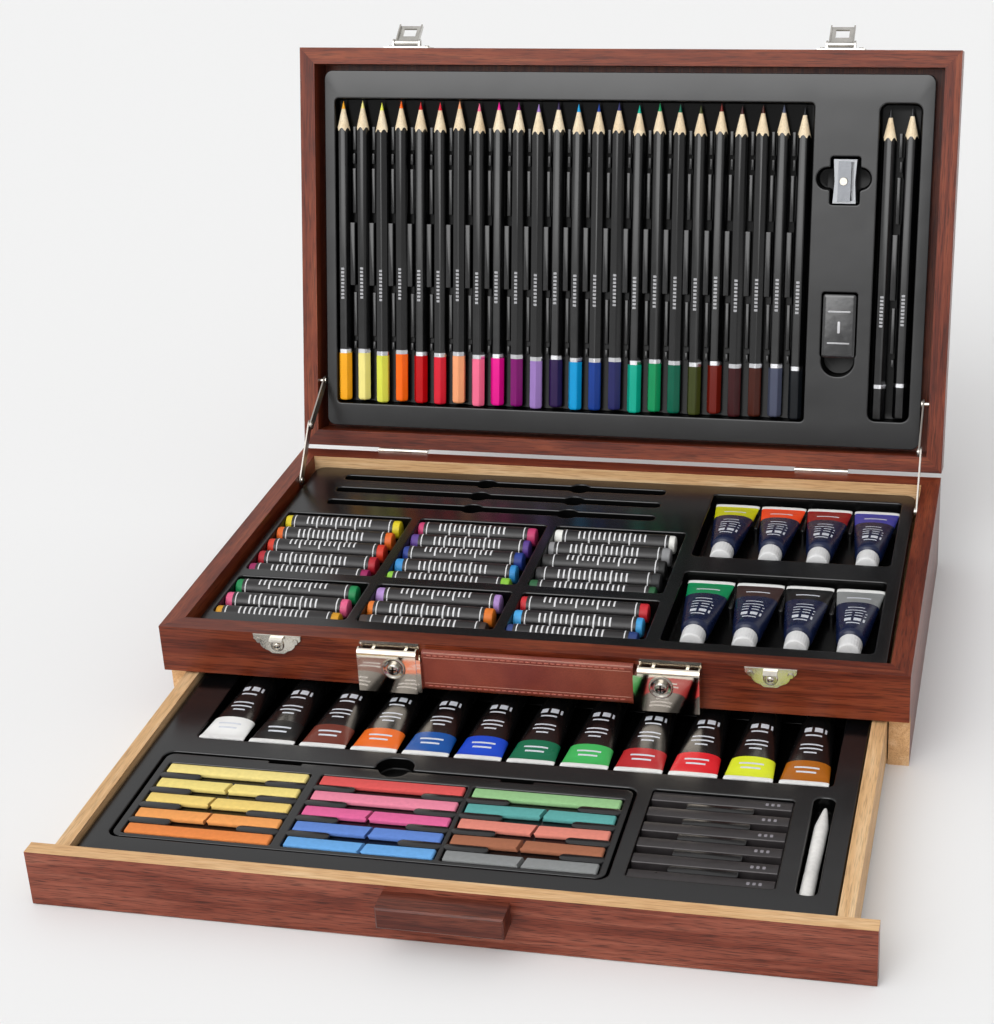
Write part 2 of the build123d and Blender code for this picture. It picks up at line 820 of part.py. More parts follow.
with BuildPart() as handle_covers:
    for cover_x, inward in ((cover_xs[0], 1), (cover_xs[1], -1)):
        inner_r = cover_r - cover_wall
        inner_end = cover_x + inward * cover_w / 2
        with BuildSketch(Plane.YZ.offset(cover_x - cover_w / 2)):
            with Locations((rod_y, rod_z)):
                Circle(cover_r)
            with Locations((rod_y, (rod_z + cover_bottom) / 2)):
                Rectangle(2 * cover_r, rod_z - cover_bottom)
        extrude(amount=cover_w)
        with BuildSketch(Plane.YZ.offset(cover_x - cover_w / 2 + cover_wall)):
            with Locations((rod_y, rod_z)):
                Circle(inner_r)
            with Locations((rod_y + 1.5, (rod_z + cover_bottom) / 2 - 0.5)):
                Rectangle(2 * inner_r + 3.0, rod_z - cover_bottom + 1.0)
            with BuildLine():
                Polyline(
                    (rod_y, rod_z - 0.5),
                    (rod_y + 5.0 * math.cos(roll_end), rod_z + 5.0 * math.sin(roll_end)),
                    (rod_y + 5.0, rod_z + 5.0),
                    (rod_y + 5.0, rod_z - 0.5),
                    close=True,
                )
            make_face()
        extrude(amount=cover_w - 2 * cover_wall, mode=Mode.SUBTRACT)
        slot_x = inner_end - 1.0 if inward > 0 else inner_end - 0.2
        with BuildSketch(Plane.YZ.offset(slot_x)):
            with Locations((rod_y + 0.4, 38.8)):
                Rectangle(5.4, 15.2)
        extrude(amount=1.2, mode=Mode.SUBTRACT)
        collar_x = inner_end if inward > 0 else inner_end - collar_w
        with BuildSketch(Plane.YZ.offset(collar_x)):
            with Locations((rod_y + 0.2, 39.2)):
                Rectangle(5.6, 18.0)
            with Locations((rod_y + 0.4, 38.8)):
                Rectangle(5.4, 15.2, mode=Mode.SUBTRACT)
        extrude(amount=collar_w)
        with BuildSketch(Plane.YZ.offset(cover_x - cover_w / 2 + 0.3)):
            with Locations((rod_y, rod_z)):
                Circle(rod_r)
        extrude(amount=cover_w - 0.6)
save(handle_covers, "handle_covers")

grip_low = 31.4
grip_high = 46.2
strap_t = 4.2
strap_y = front_y - 3.4
strap_gap = collar_w + 0.3
with BuildPart() as handle_grip:
    with BuildSketch(Plane.YZ.offset(cover_xs[0] - 10.0)):
        with Locations((rod_y + 0.4, (grip_low + grip_high) / 2)):
            RectangleRounded(5.0, grip_high - grip_low, 1.6)
    extrude(amount=cover_xs[1] - cover_xs[0] + 20.0)
    strap_x = cover_xs[0] + cover_w / 2 + strap_gap
    with BuildSketch(Plane.YZ.offset(strap_x)):
        with Locations((rod_y + 0.4, (grip_low + grip_high) / 2)):
            Rectangle(6.4, grip_high - grip_low + 2.0)
    extrude(amount=cover_xs[1] - cover_xs[0] - cover_w - 2 * strap_gap, mode=Mode.SUBTRACT)
    with BuildSketch(Plane.YZ.offset(strap_x)):
        with Locations((strap_y, (grip_low + 52.2) / 2)):
            RectangleRounded(strap_t, 52.2 - grip_low, 1.8)
    extrude(amount=cover_xs[1] - cover_xs[0] - cover_w - 2 * strap_gap)
save(handle_grip, "handle_grip")

rivet_z = 42.9
with BuildPart() as handle_rivets:
    for rivet_x in (cover_xs[0] + 3.6, cover_xs[1] - 3.5):
        with BuildSketch(Plane.XZ.offset(-(rod_y - cover_r))):
            with Locations((rivet_x, rivet_z)):
                Circle(6.0)
        extrude(amount=0.9, taper=25)
        with BuildSketch(Plane.XZ.offset(-(rod_y - cover_r - 0.8))):
            with Locations((rivet_x, rivet_z)):
                Circle(3.1)
        extrude(amount=1.1, taper=20)
save(handle_rivets, "handle_rivets")

# ================================================================ drawer
drawer_y = front_y - drawer_out
box_y0 = drawer_y + drawer_front_t
box_y1 = box_y0 + drawer_len


def from_drawer(distance):
    """World y of a point that far behind the drawer's face."""
    return drawer_y + distance


with BuildPart() as drawer_front:
    with BuildSketch(Plane.XY.offset(drawer_front_z)):
        with Locations((0, drawer_y + drawer_front_t / 2)):
            Rectangle(case_w, drawer_front_t)
    extrude(amount=drawer_front_h)
save(drawer_front, "drawer_front")

for side, name in ((-1, "drawer_side_left"), (1, "drawer_side_right")):
    with BuildPart() as drawer_side:
        with BuildSketch(Plane.XY.offset(drawer_side_z)):
            with Locations(
                (side * (drawer_w - drawer_side_t) / 2, (box_y0 + box_y1) / 2)
            ):
                Rectangle(drawer_side_t, drawer_len)
        extrude(amount=drawer_side_top - drawer_side_z)
    save(drawer_side, name)

drawer_inside = drawer_w - 2 * drawer_side_t
with BuildPart() as drawer_back:
    with BuildSketch(Plane.XY.offset(drawer_side_z)):
        with Locations((0, box_y1 - 3.0)):
            Rectangle(drawer_inside, 6.0)
    extrude(amount=drawer_side_top - drawer_side_z)
save(drawer_back, "drawer_back")

with BuildPart() as drawer_bottom:
    with BuildSketch(Plane.XY.offset(drawer_side_z)):
        with Locations((0, (box_y0 + box_y1 - 6.0) / 2)):
            Rectangle(drawer_inside, drawer_len - 6.0)
    extrude(amount=2.0)
save(drawer_bottom, "drawer_bottom")

# The pull is a plain bar across the middle of the front, its edges eased.
with BuildPart() as drawer_pull:
    with BuildSketch(Plane.XY.offset(14.6)):
        with Locations((5.8, drawer_y - 6.5)):
            Rectangle(56.0, 13.0)
    extrude(amount=10.4)
    chamfer(drawer_pull.faces().sort_by(Axis.Y)[0].edges(), 0.8)
save(drawer_pull, "drawer_pull")

# ---------------------------------------------------------------- drawer tray
chalk_len = 69.0
chalk_w = 8.0
chalk_pitch = 12.9
chalk_first = 84.4
chalk_xs = (-118.6, -42.9, 30.4)
chalk_top = drawer_tray_top - 1.0
chalk_thick = 8.0
insert = (-158.0, 69.0, from_drawer(25.5), from_drawer(97.0))
stick_len = 64.2
stick_w = 7.0
stick_pitch = 12.5
stick_first = 95.0
stick_x = 109.4
acrylic_crimp = 112.6
acrylic_len = 78.0
acrylic_first_x = -137.6
acrylic_pitch = 25.6
acrylic_tilt = 3.7
stump_x = 154.6

drawer_wells = [
    (insert[0] - 2.0, insert[1] + 2.0, insert[2] - 2.0, insert[3] + 2.0, 4.0, 6.0),
    (-55.6, -36.4, from_drawer(92.0), from_drawer(108.4), 6.0, 7.8),
    (-150.6, 158.0, from_drawer(111.6), from_drawer(193.0), 15.6, 4.0),
    (76.6, 142.4, from_drawer(28.0), from_drawer(99.6), 9.2, 2.5),
    (149.6, 160.4, from_drawer(25.6), from_drawer(103.4), 7.6, 4.4),
]
drawer_shell = formed_tray(
    Plane.XY.offset(drawer_tray_top),
    (
        -drawer_inside / 2 + 1.0,
        drawer_inside / 2 - 1.0,
        box_y0 + 1.0,
        box_y1 - 7.0,
    ),
    4.0,
    drawer_tray_top - drawer_side_z - 2.0,
    drawer_wells,
)
# Low bars between the graphite sticks, in the middle of their well.
with BuildPart() as drawer_tray:
    add(drawer_shell.part)
    with BuildSketch(Plane.XY.offset(drawer_tray_top - 9.2)):
        for i in range(5):
            bar_y = from_drawer(stick_first - (i + 0.5) * stick_pitch)
            with Locations((stick_x, bar_y)):
                Rectangle(31.0, stick_pitch - stick_w - 1.2)
    extrude(amount=8.0)
save(drawer_tray, "drawer_tray")

# The chalks have their own insert: a formed plate with a channel for each row,
# divided by rounded ridges at both sides and open across the middle.
insert_plane = Plane.XY.offset(drawer_tray_top - 0.4)
insert_depth = 3.2
insert_floor = drawer_tray_top - 4.0 + 0.1
with BuildPart() as chalk_insert:
    with BuildSketch(Plane.XY.offset(insert_floor)):
        with Locations(((insert[0] + insert[1]) / 2, (insert[2] + insert[3]) / 2)):
            RectangleRounded(insert[1] - insert[0], insert[3] - insert[2], 4.5)
        with Locations((-46.0, insert[3] + 2.2)):
            Circle(7.6, mode=Mode.SUBTRACT)
    extrude(amount=drawer_tray_top - 0.4 - insert_floor)
    for chalk_x in chalk_xs:
        with BuildSketch(insert_plane):
            with Locations(
                (chalk_x, from_drawer(chalk_first - 2 * chalk_pitch))
            ):
                RectangleRounded(chalk_len + 3.0, 4 * chalk_pitch + chalk_w + 2.4, 1.5)
        extrude(amount=-(insert_depth - 0.8), mode=Mode.SUBTRACT)
    for chalk_x in chalk_xs:
        with BuildSketch(insert_plane.offset(-(insert_depth - 0.8) - 0.1)):
            for i in range(4):
                ridge_y = from_drawer(chalk_first - (i + 0.5) * chalk_pitch)
                ridge_w = chalk_pitch - chalk_w - 0.8
                with Locations(
                    (chalk_x - chalk_len / 2 + 8.5, ridge_y),
                    (chalk_x + chalk_len / 2 - 8.5, ridge_y),
                ):
                    RectangleRounded(20.0, ridge_w, 1.6)
        extrude(amount=insert_depth - 0.8 + 0.1)
save(chalk_insert, "chalk_insert")

# Soft chalks: fifteen square sticks in three sets of five, several snapped in
# two at the middle.
chalk_floor = drawer_tray_top - 0.4 - (insert_depth - 0.8) + 0.1
broken_rows = ((1, 2, 3), (2, 3, 4), (1, 2, 3, 4))
for chalk_x, broken, name in zip(
    chalk_xs, broken_rows, ("chalks_left", "chalks_middle", "chalks_right")
):
    with BuildPart() as chalks:
        with BuildSketch(Plane.XY.offset(chalk_floor)):
            for i in range(5):
                row_y = from_drawer(chalk_first - i * chalk_pitch)
                if i in broken:
                    split = chalk_x + 2.5 * math.sin(1.9 * i + chalk_x)
                    left_end = chalk_x - chalk_len / 2
                    right_end = chalk_x + chalk_len / 2
                    with Locations(((left_end + split - 0.3) / 2, row_y)):
                        Rectangle(split - 0.3 - left_end, chalk_w)
                    with Locations(((right_end + split + 0.3) / 2, row_y)):
                        Rectangle(right_end - split - 0.3, chalk_w)
                else:
                    with Locations((chalk_x, row_y)):
                        Rectangle(chalk_len, chalk_w)
        extrude(amount=drawer_tray_top + 0.3 - chalk_floor)
    save(chalks, name)

# Acrylic paints: twelve larger tubes, crimps raised at the front, caps to the back.
acrylic_z = drawer_tray_top - 15.6 + 8.1
acrylic_body, acrylic_cap = paint_tube(0.0, acrylic_len, 22.4, 7.9, 7.0, 13.0)
acrylic_spots = [
    Location(
        (
            acrylic_first_x + i * acrylic_pitch,
            from_drawer(acrylic_crimp + acrylic_len),
            acrylic_z,
        ),
        (-acrylic_tilt, 0, 180),
    )
    for i in range(12)
]
with BuildPart() as acrylic_tubes:
    with Locations(*acrylic_spots):
        add(acrylic_body)
save(acrylic_tubes, "acrylic_tubes")

with BuildPart() as acrylic_caps:
    with Locations(*acrylic_spots):
        add(acrylic_cap)
save(acrylic_caps, "acrylic_caps")

with BuildPart() as graphite_sticks:
    with BuildSketch(Plane.XY.offset(drawer_tray_top - 9.2 + 0.1)):
        for i in range(6):
            with Locations((stick_x, from_drawer(stick_first - i * stick_pitch))):
                Rectangle(stick_len, stick_w)
    extrude(amount=8.0)
save(graphite_sticks, "graphite_sticks")

# A rolled paper stump, pointed at its far end.
stump_r = 3.2
with BuildPart() as blending_stump:
    with BuildSketch(
        Plane(
            origin=(stump_x, from_drawer(28.0), drawer_tray_top - 4.2),
            x_dir=(1, 0, 0),
            z_dir=(0.012, 1, 0),
        )
    ) as stump_end:
        Circle(stump_r)
    extrude(amount=56.0)
    extrude(blending_stump.faces().sort_by(Axis.Y)[-1], amount=16.0, taper=9.5)
save(blending_stump, "blending_stump")

# ================================================================ small screws
# Round-headed screws: two in each catch, two in each handle plate and two in
# each base hinge leaf.
with BuildPart() as base_screws:
    for latch_x in latch_xs:
        for screw_x in (latch_x - 9.6, latch_x + 9.6):
            with BuildSketch(Plane.XZ.offset(-front_y + catch_t)):
                with Locations((screw_x, catch_top - 3.2)):
                    Circle(1.6)
            extrude(amount=0.7, taper=25)
    for hinge_x in hinge_xs:
        for screw_x in (hinge_x - 9.5, hinge_x + 9.5):
            with BuildSketch(Plane.XZ.offset(-(back_y + 0.07 + leaf_t))):
                with Locations((screw_x, base_h - 6.6)):
                    Circle(1.7)
            extrude(amount=-0.7, taper=25)
save(base_screws, "base_screws")

# The same screws on the lid: two in each latch plate and two in each lid leaf,
# with the one that clamps the sharpener's blade.
with BuildPart() as lid_screws:
    for latch_x in latch_xs:
        for screw_x in (latch_x - 10.6, latch_x + 10.6):
            with BuildSketch(
                Plane(
                    origin=lid_point(screw_x, case_d + 0.8, 8.4),
                    x_dir=(1, 0, 0),
                    z_dir=lid_up,
                )
            ):
                Circle(1.5)
            extrude(amount=0.7, taper=25)
    for hinge_x in hinge_xs:
        for screw_x in (hinge_x - 9.5, hinge_x + 9.5):
            with BuildSketch(
                Plane(
                    origin=lid_point(screw_x, -0.07 - leaf_t, 6.8),
                    x_dir=(1, 0, 0),
                    z_dir=lid_up * -1,
                )
            ):
                Circle(1.7)
            extrude(amount=0.7, taper=25)
    with BuildSketch(lid_plane.offset(-2.35)):
        with Locations((sharpener_x - 0.6, 159.6)):
            Circle(2.4)
    extrude(amount=0.8, taper=20)
save(lid_screws, "lid_screws")

print("reach", round(reach, 2), "elbow", elbow)
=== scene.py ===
import math

import bmesh
import bpy
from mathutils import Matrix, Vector
from mathutils.geometry import delaunay_2d_cdt


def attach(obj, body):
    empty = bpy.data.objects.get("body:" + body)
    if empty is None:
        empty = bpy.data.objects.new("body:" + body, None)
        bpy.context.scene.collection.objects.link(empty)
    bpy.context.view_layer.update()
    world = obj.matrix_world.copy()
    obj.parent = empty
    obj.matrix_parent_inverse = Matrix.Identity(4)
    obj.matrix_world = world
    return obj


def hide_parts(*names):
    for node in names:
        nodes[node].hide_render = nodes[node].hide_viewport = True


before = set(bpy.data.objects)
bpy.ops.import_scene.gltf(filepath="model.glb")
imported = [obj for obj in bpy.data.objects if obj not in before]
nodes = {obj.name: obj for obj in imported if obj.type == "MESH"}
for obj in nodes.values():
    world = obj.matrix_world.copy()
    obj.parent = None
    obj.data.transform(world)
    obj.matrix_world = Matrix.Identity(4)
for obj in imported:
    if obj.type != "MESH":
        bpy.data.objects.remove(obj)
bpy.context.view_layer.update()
scene = bpy.context.scene

# ---------------------------------------------------------------- view and light
# The camera stands where the photograph was taken from. A pale floor runs back
# under soft light that is strongest from the upper left.
scene.view_settings.view_transform = "Standard"
lens = bpy.data.cameras.new("photo_camera")
lens.lens = 75.51
lens.shift_x = -0.0487
lens.shift_y = 0.0678
camera = bpy.data.objects.new("photo_camera", lens)
camera.location = (0.2372138, -1.0015001, 0.5475501)
camera.rotation_mode = "XYZ"
camera.rotation_euler = (math.radians(63.47), math.radians(2.643), math.radians(12.741))
scene.collection.objects.link(camera)
scene.camera = camera


def colour(number):
    """Linear colour of a six-figure paint number."""
    parts = [int(number[i : i + 2], 16) / 255 for i in (0, 2, 4)]
    return [c / 12.92 if c < 0.0405 else ((c + 0.055) / 1.055) ** 2.4 for c in parts] + [1.0]


def stir(tree, kind, inputs, **settings):
    """Adds one shader node, with its inputs given as values or as links."""
    node = tree.nodes.new("ShaderNode" + kind)
    for key, value in settings.items():
        setattr(node, key, value)
    for key, value in inputs.items():
        if isinstance(value, bpy.types.NodeSocket):
            tree.links.new(value, node.inputs[key])
        else:
            node.inputs[key].default_value = value
    return node


world = bpy.data.worlds.new("studio")
scene.world = world
world.use_nodes = True
air = world.node_tree
sky = air.nodes["Background"]
aim = stir(air, "TexCoord", {}).outputs["Generated"]
BRIGHT_SIDE, PANEL_SIDE = (-0.66, -0.30, 0.69), (-0.19, -0.80, 0.57)
toward = stir(air, "VectorMath", {0: aim, 1: BRIGHT_SIDE}, operation="DOT_PRODUCT")
soft = stir(air, "MapRange", {"Value": toward.outputs["Value"], "From Min": -0.1, "From Max": 1.0,
                              "To Min": 0.62, "To Max": 1.0}, interpolation_type="SMOOTHSTEP")
panel = stir(air, "VectorMath", {0: aim, 1: PANEL_SIDE}, operation="DOT_PRODUCT")
panel = stir(air, "MapRange", {"Value": panel.outputs["Value"], "From Min": 0.885, "From Max": 0.958,
                               "To Min": 0.0, "To Max": 3.4}, interpolation_type="SMOOTHSTEP")
glow = stir(air, "Math", {0: soft.outputs[0], 1: panel.outputs[0]}, operation="ADD")
seen = stir(air, "LightPath", {}).outputs["Is Camera Ray"]
level = stir(air, "Mix", {0: seen, 2: glow.outputs[0], 3: 1.0}, data_type="FLOAT")
sky.inputs["Color"].default_value = colour("F2F2F2")
air.links.new(level.outputs[0], sky.inputs["Strength"])

sun = bpy.data.lights.new("key", "SUN")
sun.energy = 0.36
sun.angle = math.radians(50)
lamp = bpy.data.objects.new("key", sun)
lamp.rotation_euler = (math.radians(38), math.radians(-14), math.radians(-24))
scene.collection.objects.link(lamp)

floor_mesh = bpy.data.meshes.new("floor")
floor_mesh.from_pydata([(-9, -9, 0), (9, -9, 0), (9, 9, 0), (-9, 9, 0)], [], [(0, 1, 2, 3)])
floor = bpy.data.objects.new("floor", floor_mesh)
scene.collection.objects.link(floor)
pale = bpy.data.materials.new("pale_floor")
pale.use_nodes = True
for key, value in (("Base Color", colour("EBEBEB")), ("Roughness", 0.9), ("Specular IOR Level", 0.1)):
    pale.node_tree.nodes["Principled BSDF"].inputs[key].default_value = value
floor_mesh.materials.append(pale)

# ---------------------------------------------------------------- case boards
# The case is mitred from hardwood boards, stained red-brown outside under a thin
# satin varnish. The back and front boards stay bare inside, and so do the front
# ends of the side boards beside the drawer.
MM = 0.001
LEAN = math.radians(14.7)


def new_finish(name, rough, metal=0.0):
    """A material with its node tree and its surface node."""
    material = bpy.data.materials.new(name)
    material.use_nodes = True
    surface = material.node_tree.nodes["Principled BSDF"]
    surface.inputs["Roughness"].default_value = rough
    surface.inputs["Metallic"].default_value = metal
    return material, material.node_tree, surface


def grain(tree, where, stretch, detail=3.0, warp=0.0):
    """Noise drawn out by a stretch along each axis, in marks per metre."""
    drawn = stir(tree, "Mapping", {"Vector": where, "Scale": stretch})
    noise = stir(tree, "TexNoise", {"Vector": drawn.outputs[0], "Scale": 1.0, "Detail": detail,
                                    "Distortion": warp})
    return noise.outputs["Fac"]


def shades(tree, factor, stops):
    """A ramp through (place, paint number) stops."""
    ramp = stir(tree, "ValToRGB", {"Fac": factor})
    ends = ramp.color_ramp.elements
    for place, number in stops[1:-1]:
        ends.new(place).color = colour(number)
    ends[0].position, ends[0].color = stops[0][0], colour(stops[0][1])
    ends[len(stops) - 1].position = stops[-1][0]
    ends[len(stops) - 1].color = colour(stops[-1][1])
    return ramp.outputs["Color"]


def blend(tree, factor, first, second, way="MIX"):
    """One colour laid over another."""
    return stir(tree, "Mix", {0: factor, 6: first, 7: second}, data_type="RGBA", blend_type=way).outputs[2]


def reckon(tree, way, first, second=0.0, third=0.0):
    """One sum."""
    return stir(tree, "Math", {0: first, 1: second, 2: third}, operation=way).outputs[0]


def finished(material, tone, rough, relief=None, strength=0.0, distance=0.0002):
    """Feeds colour, roughness and fine relief to the material's surface."""
    tree = material.node_tree
    feeds = {"Base Color": tone, "Roughness": rough}
    if relief is not None:
        feeds["Normal"] = stir(tree, "Bump", {"Height": relief, "Strength": strength, "Distance": distance}).outputs[0]
    for key, value in feeds.items():
        tree.links.new(value, tree.nodes["Principled BSDF"].inputs[key])
    return material


def along_axis(axis, length, width):
    """Stretch for grain that runs along one axis."""
    return [length if i == axis else width for i in range(3)]


BARE = ((0.25, "B68A58"), (0.5, "D8AE7E"), (0.75, "ECCFA6"))
STAIN = ((0.2, "280A04"), (0.42, "5E2210"), (0.55, "7C3820"), (0.78, "9A5434"))
ANY_HEIGHT, DRAWER_RIM = 9.0, 0.0285


def wood_finish(name, axis, stops, tilt=0.0, bare=None, bare_below=ANY_HEIGHT, pores=0.55, gloss=0.34):
    """Stained wood with long grain along one axis, left bare on faces that look
    in the direction given and lie below a height in metres."""
    material, tree, surface = new_finish(name, gloss)
    surface.inputs["Specular IOR Level"].default_value = 0.32
    spot = stir(tree, "TexCoord", {})
    where = spot.outputs["Object"]
    if tilt:
        where = stir(tree, "Mapping", {"Vector": where, "Rotation": (tilt, 0, 0)}).outputs[0]
    figure = grain(tree, where, along_axis(axis, 11, 190), 5.0, 1.3)
    broad = grain(tree, where, along_axis(axis, 4, 34), 2.0, 0.6)
    fine = grain(tree, where, along_axis(axis, 90, 2300), 2.0)
    both = reckon(tree, "MULTIPLY_ADD", broad, 0.45, reckon(tree, "MULTIPLY", figure, 0.55))
    tone = shades(tree, both, stops)
    lines = shades(tree, fine, ((0.36, "4A4038"), (0.5, "FFFFFF")))
    tone = blend(tree, pores, tone, lines, "MULTIPLY")
    if bare:
        faces = stir(tree, "VectorMath", {0: spot.outputs["Normal"], 1: bare}, operation="DOT_PRODUCT")
        mask = reckon(tree, "GREATER_THAN", faces.outputs["Value"], 0.8)
        height = stir(tree, "SeparateXYZ", {0: spot.outputs["Object"]}).outputs["Z"]
        mask = reckon(tree, "MULTIPLY", mask, reckon(tree, "LESS_THAN", height, bare_below))
        raw = blend(tree, 0.5, shades(tree, both, BARE), shades(tree, fine, ((0.3, "B08A60"), (0.55, "FFFFFF"))),
                    "MULTIPLY")
        tone = blend(tree, mask, tone, raw)
        rough = reckon(tree, "MULTIPLY_ADD", mask, 0.3, gloss)
    else:
        rough = reckon(tree, "MULTIPLY_ADD", fine, 0.16, gloss - 0.08)
    return finished(material, tone, rough, fine, 0.25)


def dress(node, material, edge=0.0):
    """Gives a CAD node its material and, where the real edge is eased, a small round."""
    thing = nodes[node]
    thing.data.materials.clear()
    thing.data.materials.append(material)
    if edge:
        ease = thing.modifiers.new("eased_edges", "BEVEL")
        ease.width = edge * MM
        ease.segments = 3
        ease.limit_method = "ANGLE"
        ease.angle_limit = math.radians(35)


for node, axis, bare, below in (
    ("base_side_left", 1, (0, -1, 0), DRAWER_RIM), ("base_side_right", 1, (0, -1, 0), DRAWER_RIM),
    ("base_back_panel", 0, (0, -1, 0), ANY_HEIGHT), ("base_fascia", 0, (0, 1, 0), ANY_HEIGHT),
):
    dress(node, wood_finish(node + "_wood", axis, STAIN, bare=bare, bare_below=below), 0.7)
panel_board = wood_finish("bare_panel_board", 0, BARE, pores=0.3, gloss=0.6)
dress("base_bottom_panel", panel_board)
dress("divider_panel", panel_board)

# ---------------------------------------------------------------- lid frame
# Four mitred boards and a thin panel, stained all over, with the grain along
# each board.
lid_rails = wood_finish("lid_rail_wood", 0, STAIN, tilt=LEAN - math.pi / 2)
lid_stiles = wood_finish("lid_stile_wood", 1, STAIN, tilt=LEAN - math.pi / 2)
for node in ("lid_back_rail", "lid_front_rail"):
    dress(node, lid_rails, 0.7)
for node in ("lid_side_left", "lid_side_right"):
    dress(node, lid_stiles, 0.7)
dress("lid_top_panel", lid_stiles)
HINGE_LINE = (116.4, 53.875)
CORNER_UP, CORNER_IN = 1.4, 0.375


def lid_point(x, s, h):
    """Place at x across, s up the lid and h behind its rim, in millimetres."""
    up, out = (math.sin(LEAN), math.cos(LEAN)), (-math.cos(LEAN), math.sin(LEAN))
    y, z = (HINGE_LINE[i] + CORNER_UP * up[i] - CORNER_IN * out[i] + s * up[i] - h * out[i] for i in (0, 1))
    return (x, y, z)


# ---------------------------------------------------------------- formed trays
# Three black trays and the chalk plate are drawn from thin glossy sheet, so
# every edge of a well is a soft lip over a steep wall and a rounded floor.
# In the three trays the walls and floors of the wells take a darker, duller
# copy of the sheet as painted shade.
def new_sheet():
    """An empty list of points and faces, each face with its finish and paint."""
    return {"points": [], "faces": [], "finish": [], "paint": []}


def lay(sheet, rings, finish=0, paint=None, first=False, last=False):
    """Joins closed rings of points in turn. The finish may follow the span and the
    side; first and last close the ends."""
    base, count = len(sheet["points"]), len(rings[0])
    for ring in rings:
        sheet["points"].extend(ring)

    def add(face, span, side):
        sheet["faces"].append(face)
        sheet["finish"].append(finish(span, side) if callable(finish) else finish)
        sheet["paint"].append(paint)

    for span in range(len(rings) - 1):
        low, high = base + span * count, base + (span + 1) * count
        for side in range(count):
            after = (side + 1) % count
            add((low + side, low + after, high + after, high + side), span, side)
    if first:
        add(tuple(base + i for i in reversed(range(count))), 0, 0)
    if last:
        start = base + (len(rings) - 1) * count
        add(tuple(start + i for i in range(count)), len(rings) - 2, 0)


def circle(radius, sides):
    """Steps from the middle of a circle to the points round it."""
    turns = [2 * math.pi * i / sides for i in range(sides)]
    return [(radius * math.cos(a), radius * math.sin(a)) for a in turns]


def inside(point, ring):
    """True for a point inside a closed outline."""
    found = False
    for (x0, y0), (x1, y1) in zip(ring, ring[1:] + ring[:1]):
        if (y0 > point[1]) != (y1 > point[1]):
            if point[0] < (x1 - x0) * (point[1] - y0) / (y1 - y0) + x0:
                found = not found
    return found


def fill(sheet, outline, holes, level, finish=0):
    """Flat sheet inside an outline and round its holes, at one level."""
    points, edges = [], []
    for ring in [outline] + holes:
        start = len(points)
        points += [Vector(p) for p in ring]
        edges += [(start + i, start + (i + 1) % len(ring)) for i in range(len(ring))]
    spots, _, faces = delaunay_2d_cdt(points, edges, [], 0, 1e-6)[:3]
    base = len(sheet["points"])
    sheet["points"].extend((p.x, p.y, level) for p in spots)
    for face in faces:
        middle = [sum(spots[i][k] for i in face) / len(face) for k in (0, 1)]
        if inside(middle, outline) and not any(inside(middle, hole) for hole in holes):
            sheet["faces"].append(tuple(base + i for i in face))
            sheet["finish"].append(finish)
            sheet["paint"].append(None)


def rounded(x0, x1, y0, y1, radius, inset=0.0, per=6):
    """Outline of a rounded rectangle, drawn in by an inset."""
    radius = max(radius, inset + 0.4)
    ring = []
    for cx, cy, turn in ((x1 - radius, y1 - radius, 0), (x0 + radius, y1 - radius, 90),
                         (x0 + radius, y0 + radius, 180), (x1 - radius, y0 + radius, 270)):
        for i in range(per + 1):
            angle = math.radians(turn + 90 * i / per)
            ring.append((cx + (radius - inset) * math.cos(angle), cy + (radius - inset) * math.sin(angle)))
    return ring


def joined(boxes):
    """Outline round several overlapping rounded boxes (x low, x high, y low, y high,
    radius), followed over a fine square grid."""
    step, margin = 0.7, 1.5
    x0, y0 = min(b[0] for b in boxes) - margin, min(b[2] for b in boxes) - margin
    wide = int((max(b[1] for b in boxes) + margin - x0) / step) + 2
    deep = int((max(b[3] for b in boxes) + margin - y0) / step) + 2

    def gap(x, y):
        nearest = 9e9
        for a, b, c, d, r in boxes:
            dx, dy = abs(x - (a + b) / 2) - (b - a) / 2 + r, abs(y - (c + d) / 2) - (d - c) / 2 + r
            nearest = min(nearest, math.hypot(max(dx, 0), max(dy, 0)) + min(max(dx, dy), 0) - r)
        return nearest

    field = [[gap(x0 + i * step, y0 + j * step) for j in range(deep)] for i in range(wide)]
    place, links = {}, {}
    for i in range(wide - 1):
        for j in range(deep - 1):
            crossed = []
            for p, q in (((i, j), (i + 1, j)), ((i + 1, j), (i + 1, j + 1)),
                         ((i, j + 1), (i + 1, j + 1)), ((i, j), (i, j + 1))):
                a, b = field[p[0]][p[1]], field[q[0]][q[1]]
                if (a < 0) != (b < 0):
                    t = a / (a - b)
                    place[(p, q)] = (x0 + step * (p[0] + t * (q[0] - p[0])), y0 + step * (p[1] + t * (q[1] - p[1])))
                    crossed.append((p, q))
            for a, b in zip(crossed[::2], crossed[1::2]):
                links.setdefault(a, []).append(b)
                links.setdefault(b, []).append(a)
    start = next(iter(links))
    walk, before = [start], None
    while True:
        nexts = [k for k in links[walk[-1]] if k != before]
        before = walk[-1]
        if not nexts or nexts[0] == start:
            break
        walk.append(nexts[0])
    ring = [place[k] for k in walk]
    area = sum(a[0] * b[1] - b[0] * a[1] for a, b in zip(ring, ring[1:] + ring[:1]))
    return ring if area > 0 else ring[::-1]


def drawn_in(ring, inset):
    """A ring moved inwards along its own sides."""
    moved = []
    for i, (x, y) in enumerate(ring):
        (ax, ay), (bx, by) = ring[i - 2], ring[(i + 2) % len(ring)]
        size = math.hypot(bx - ax, by - ay) or 1.0
        moved.append((x - (by - ay) / size * inset, y + (bx - ax) / size * inset))
    return moved


RIM_STEPS = ((0.6, 0), (0.28, 0.04), (0.08, 0.2), (0.0, 0.5))


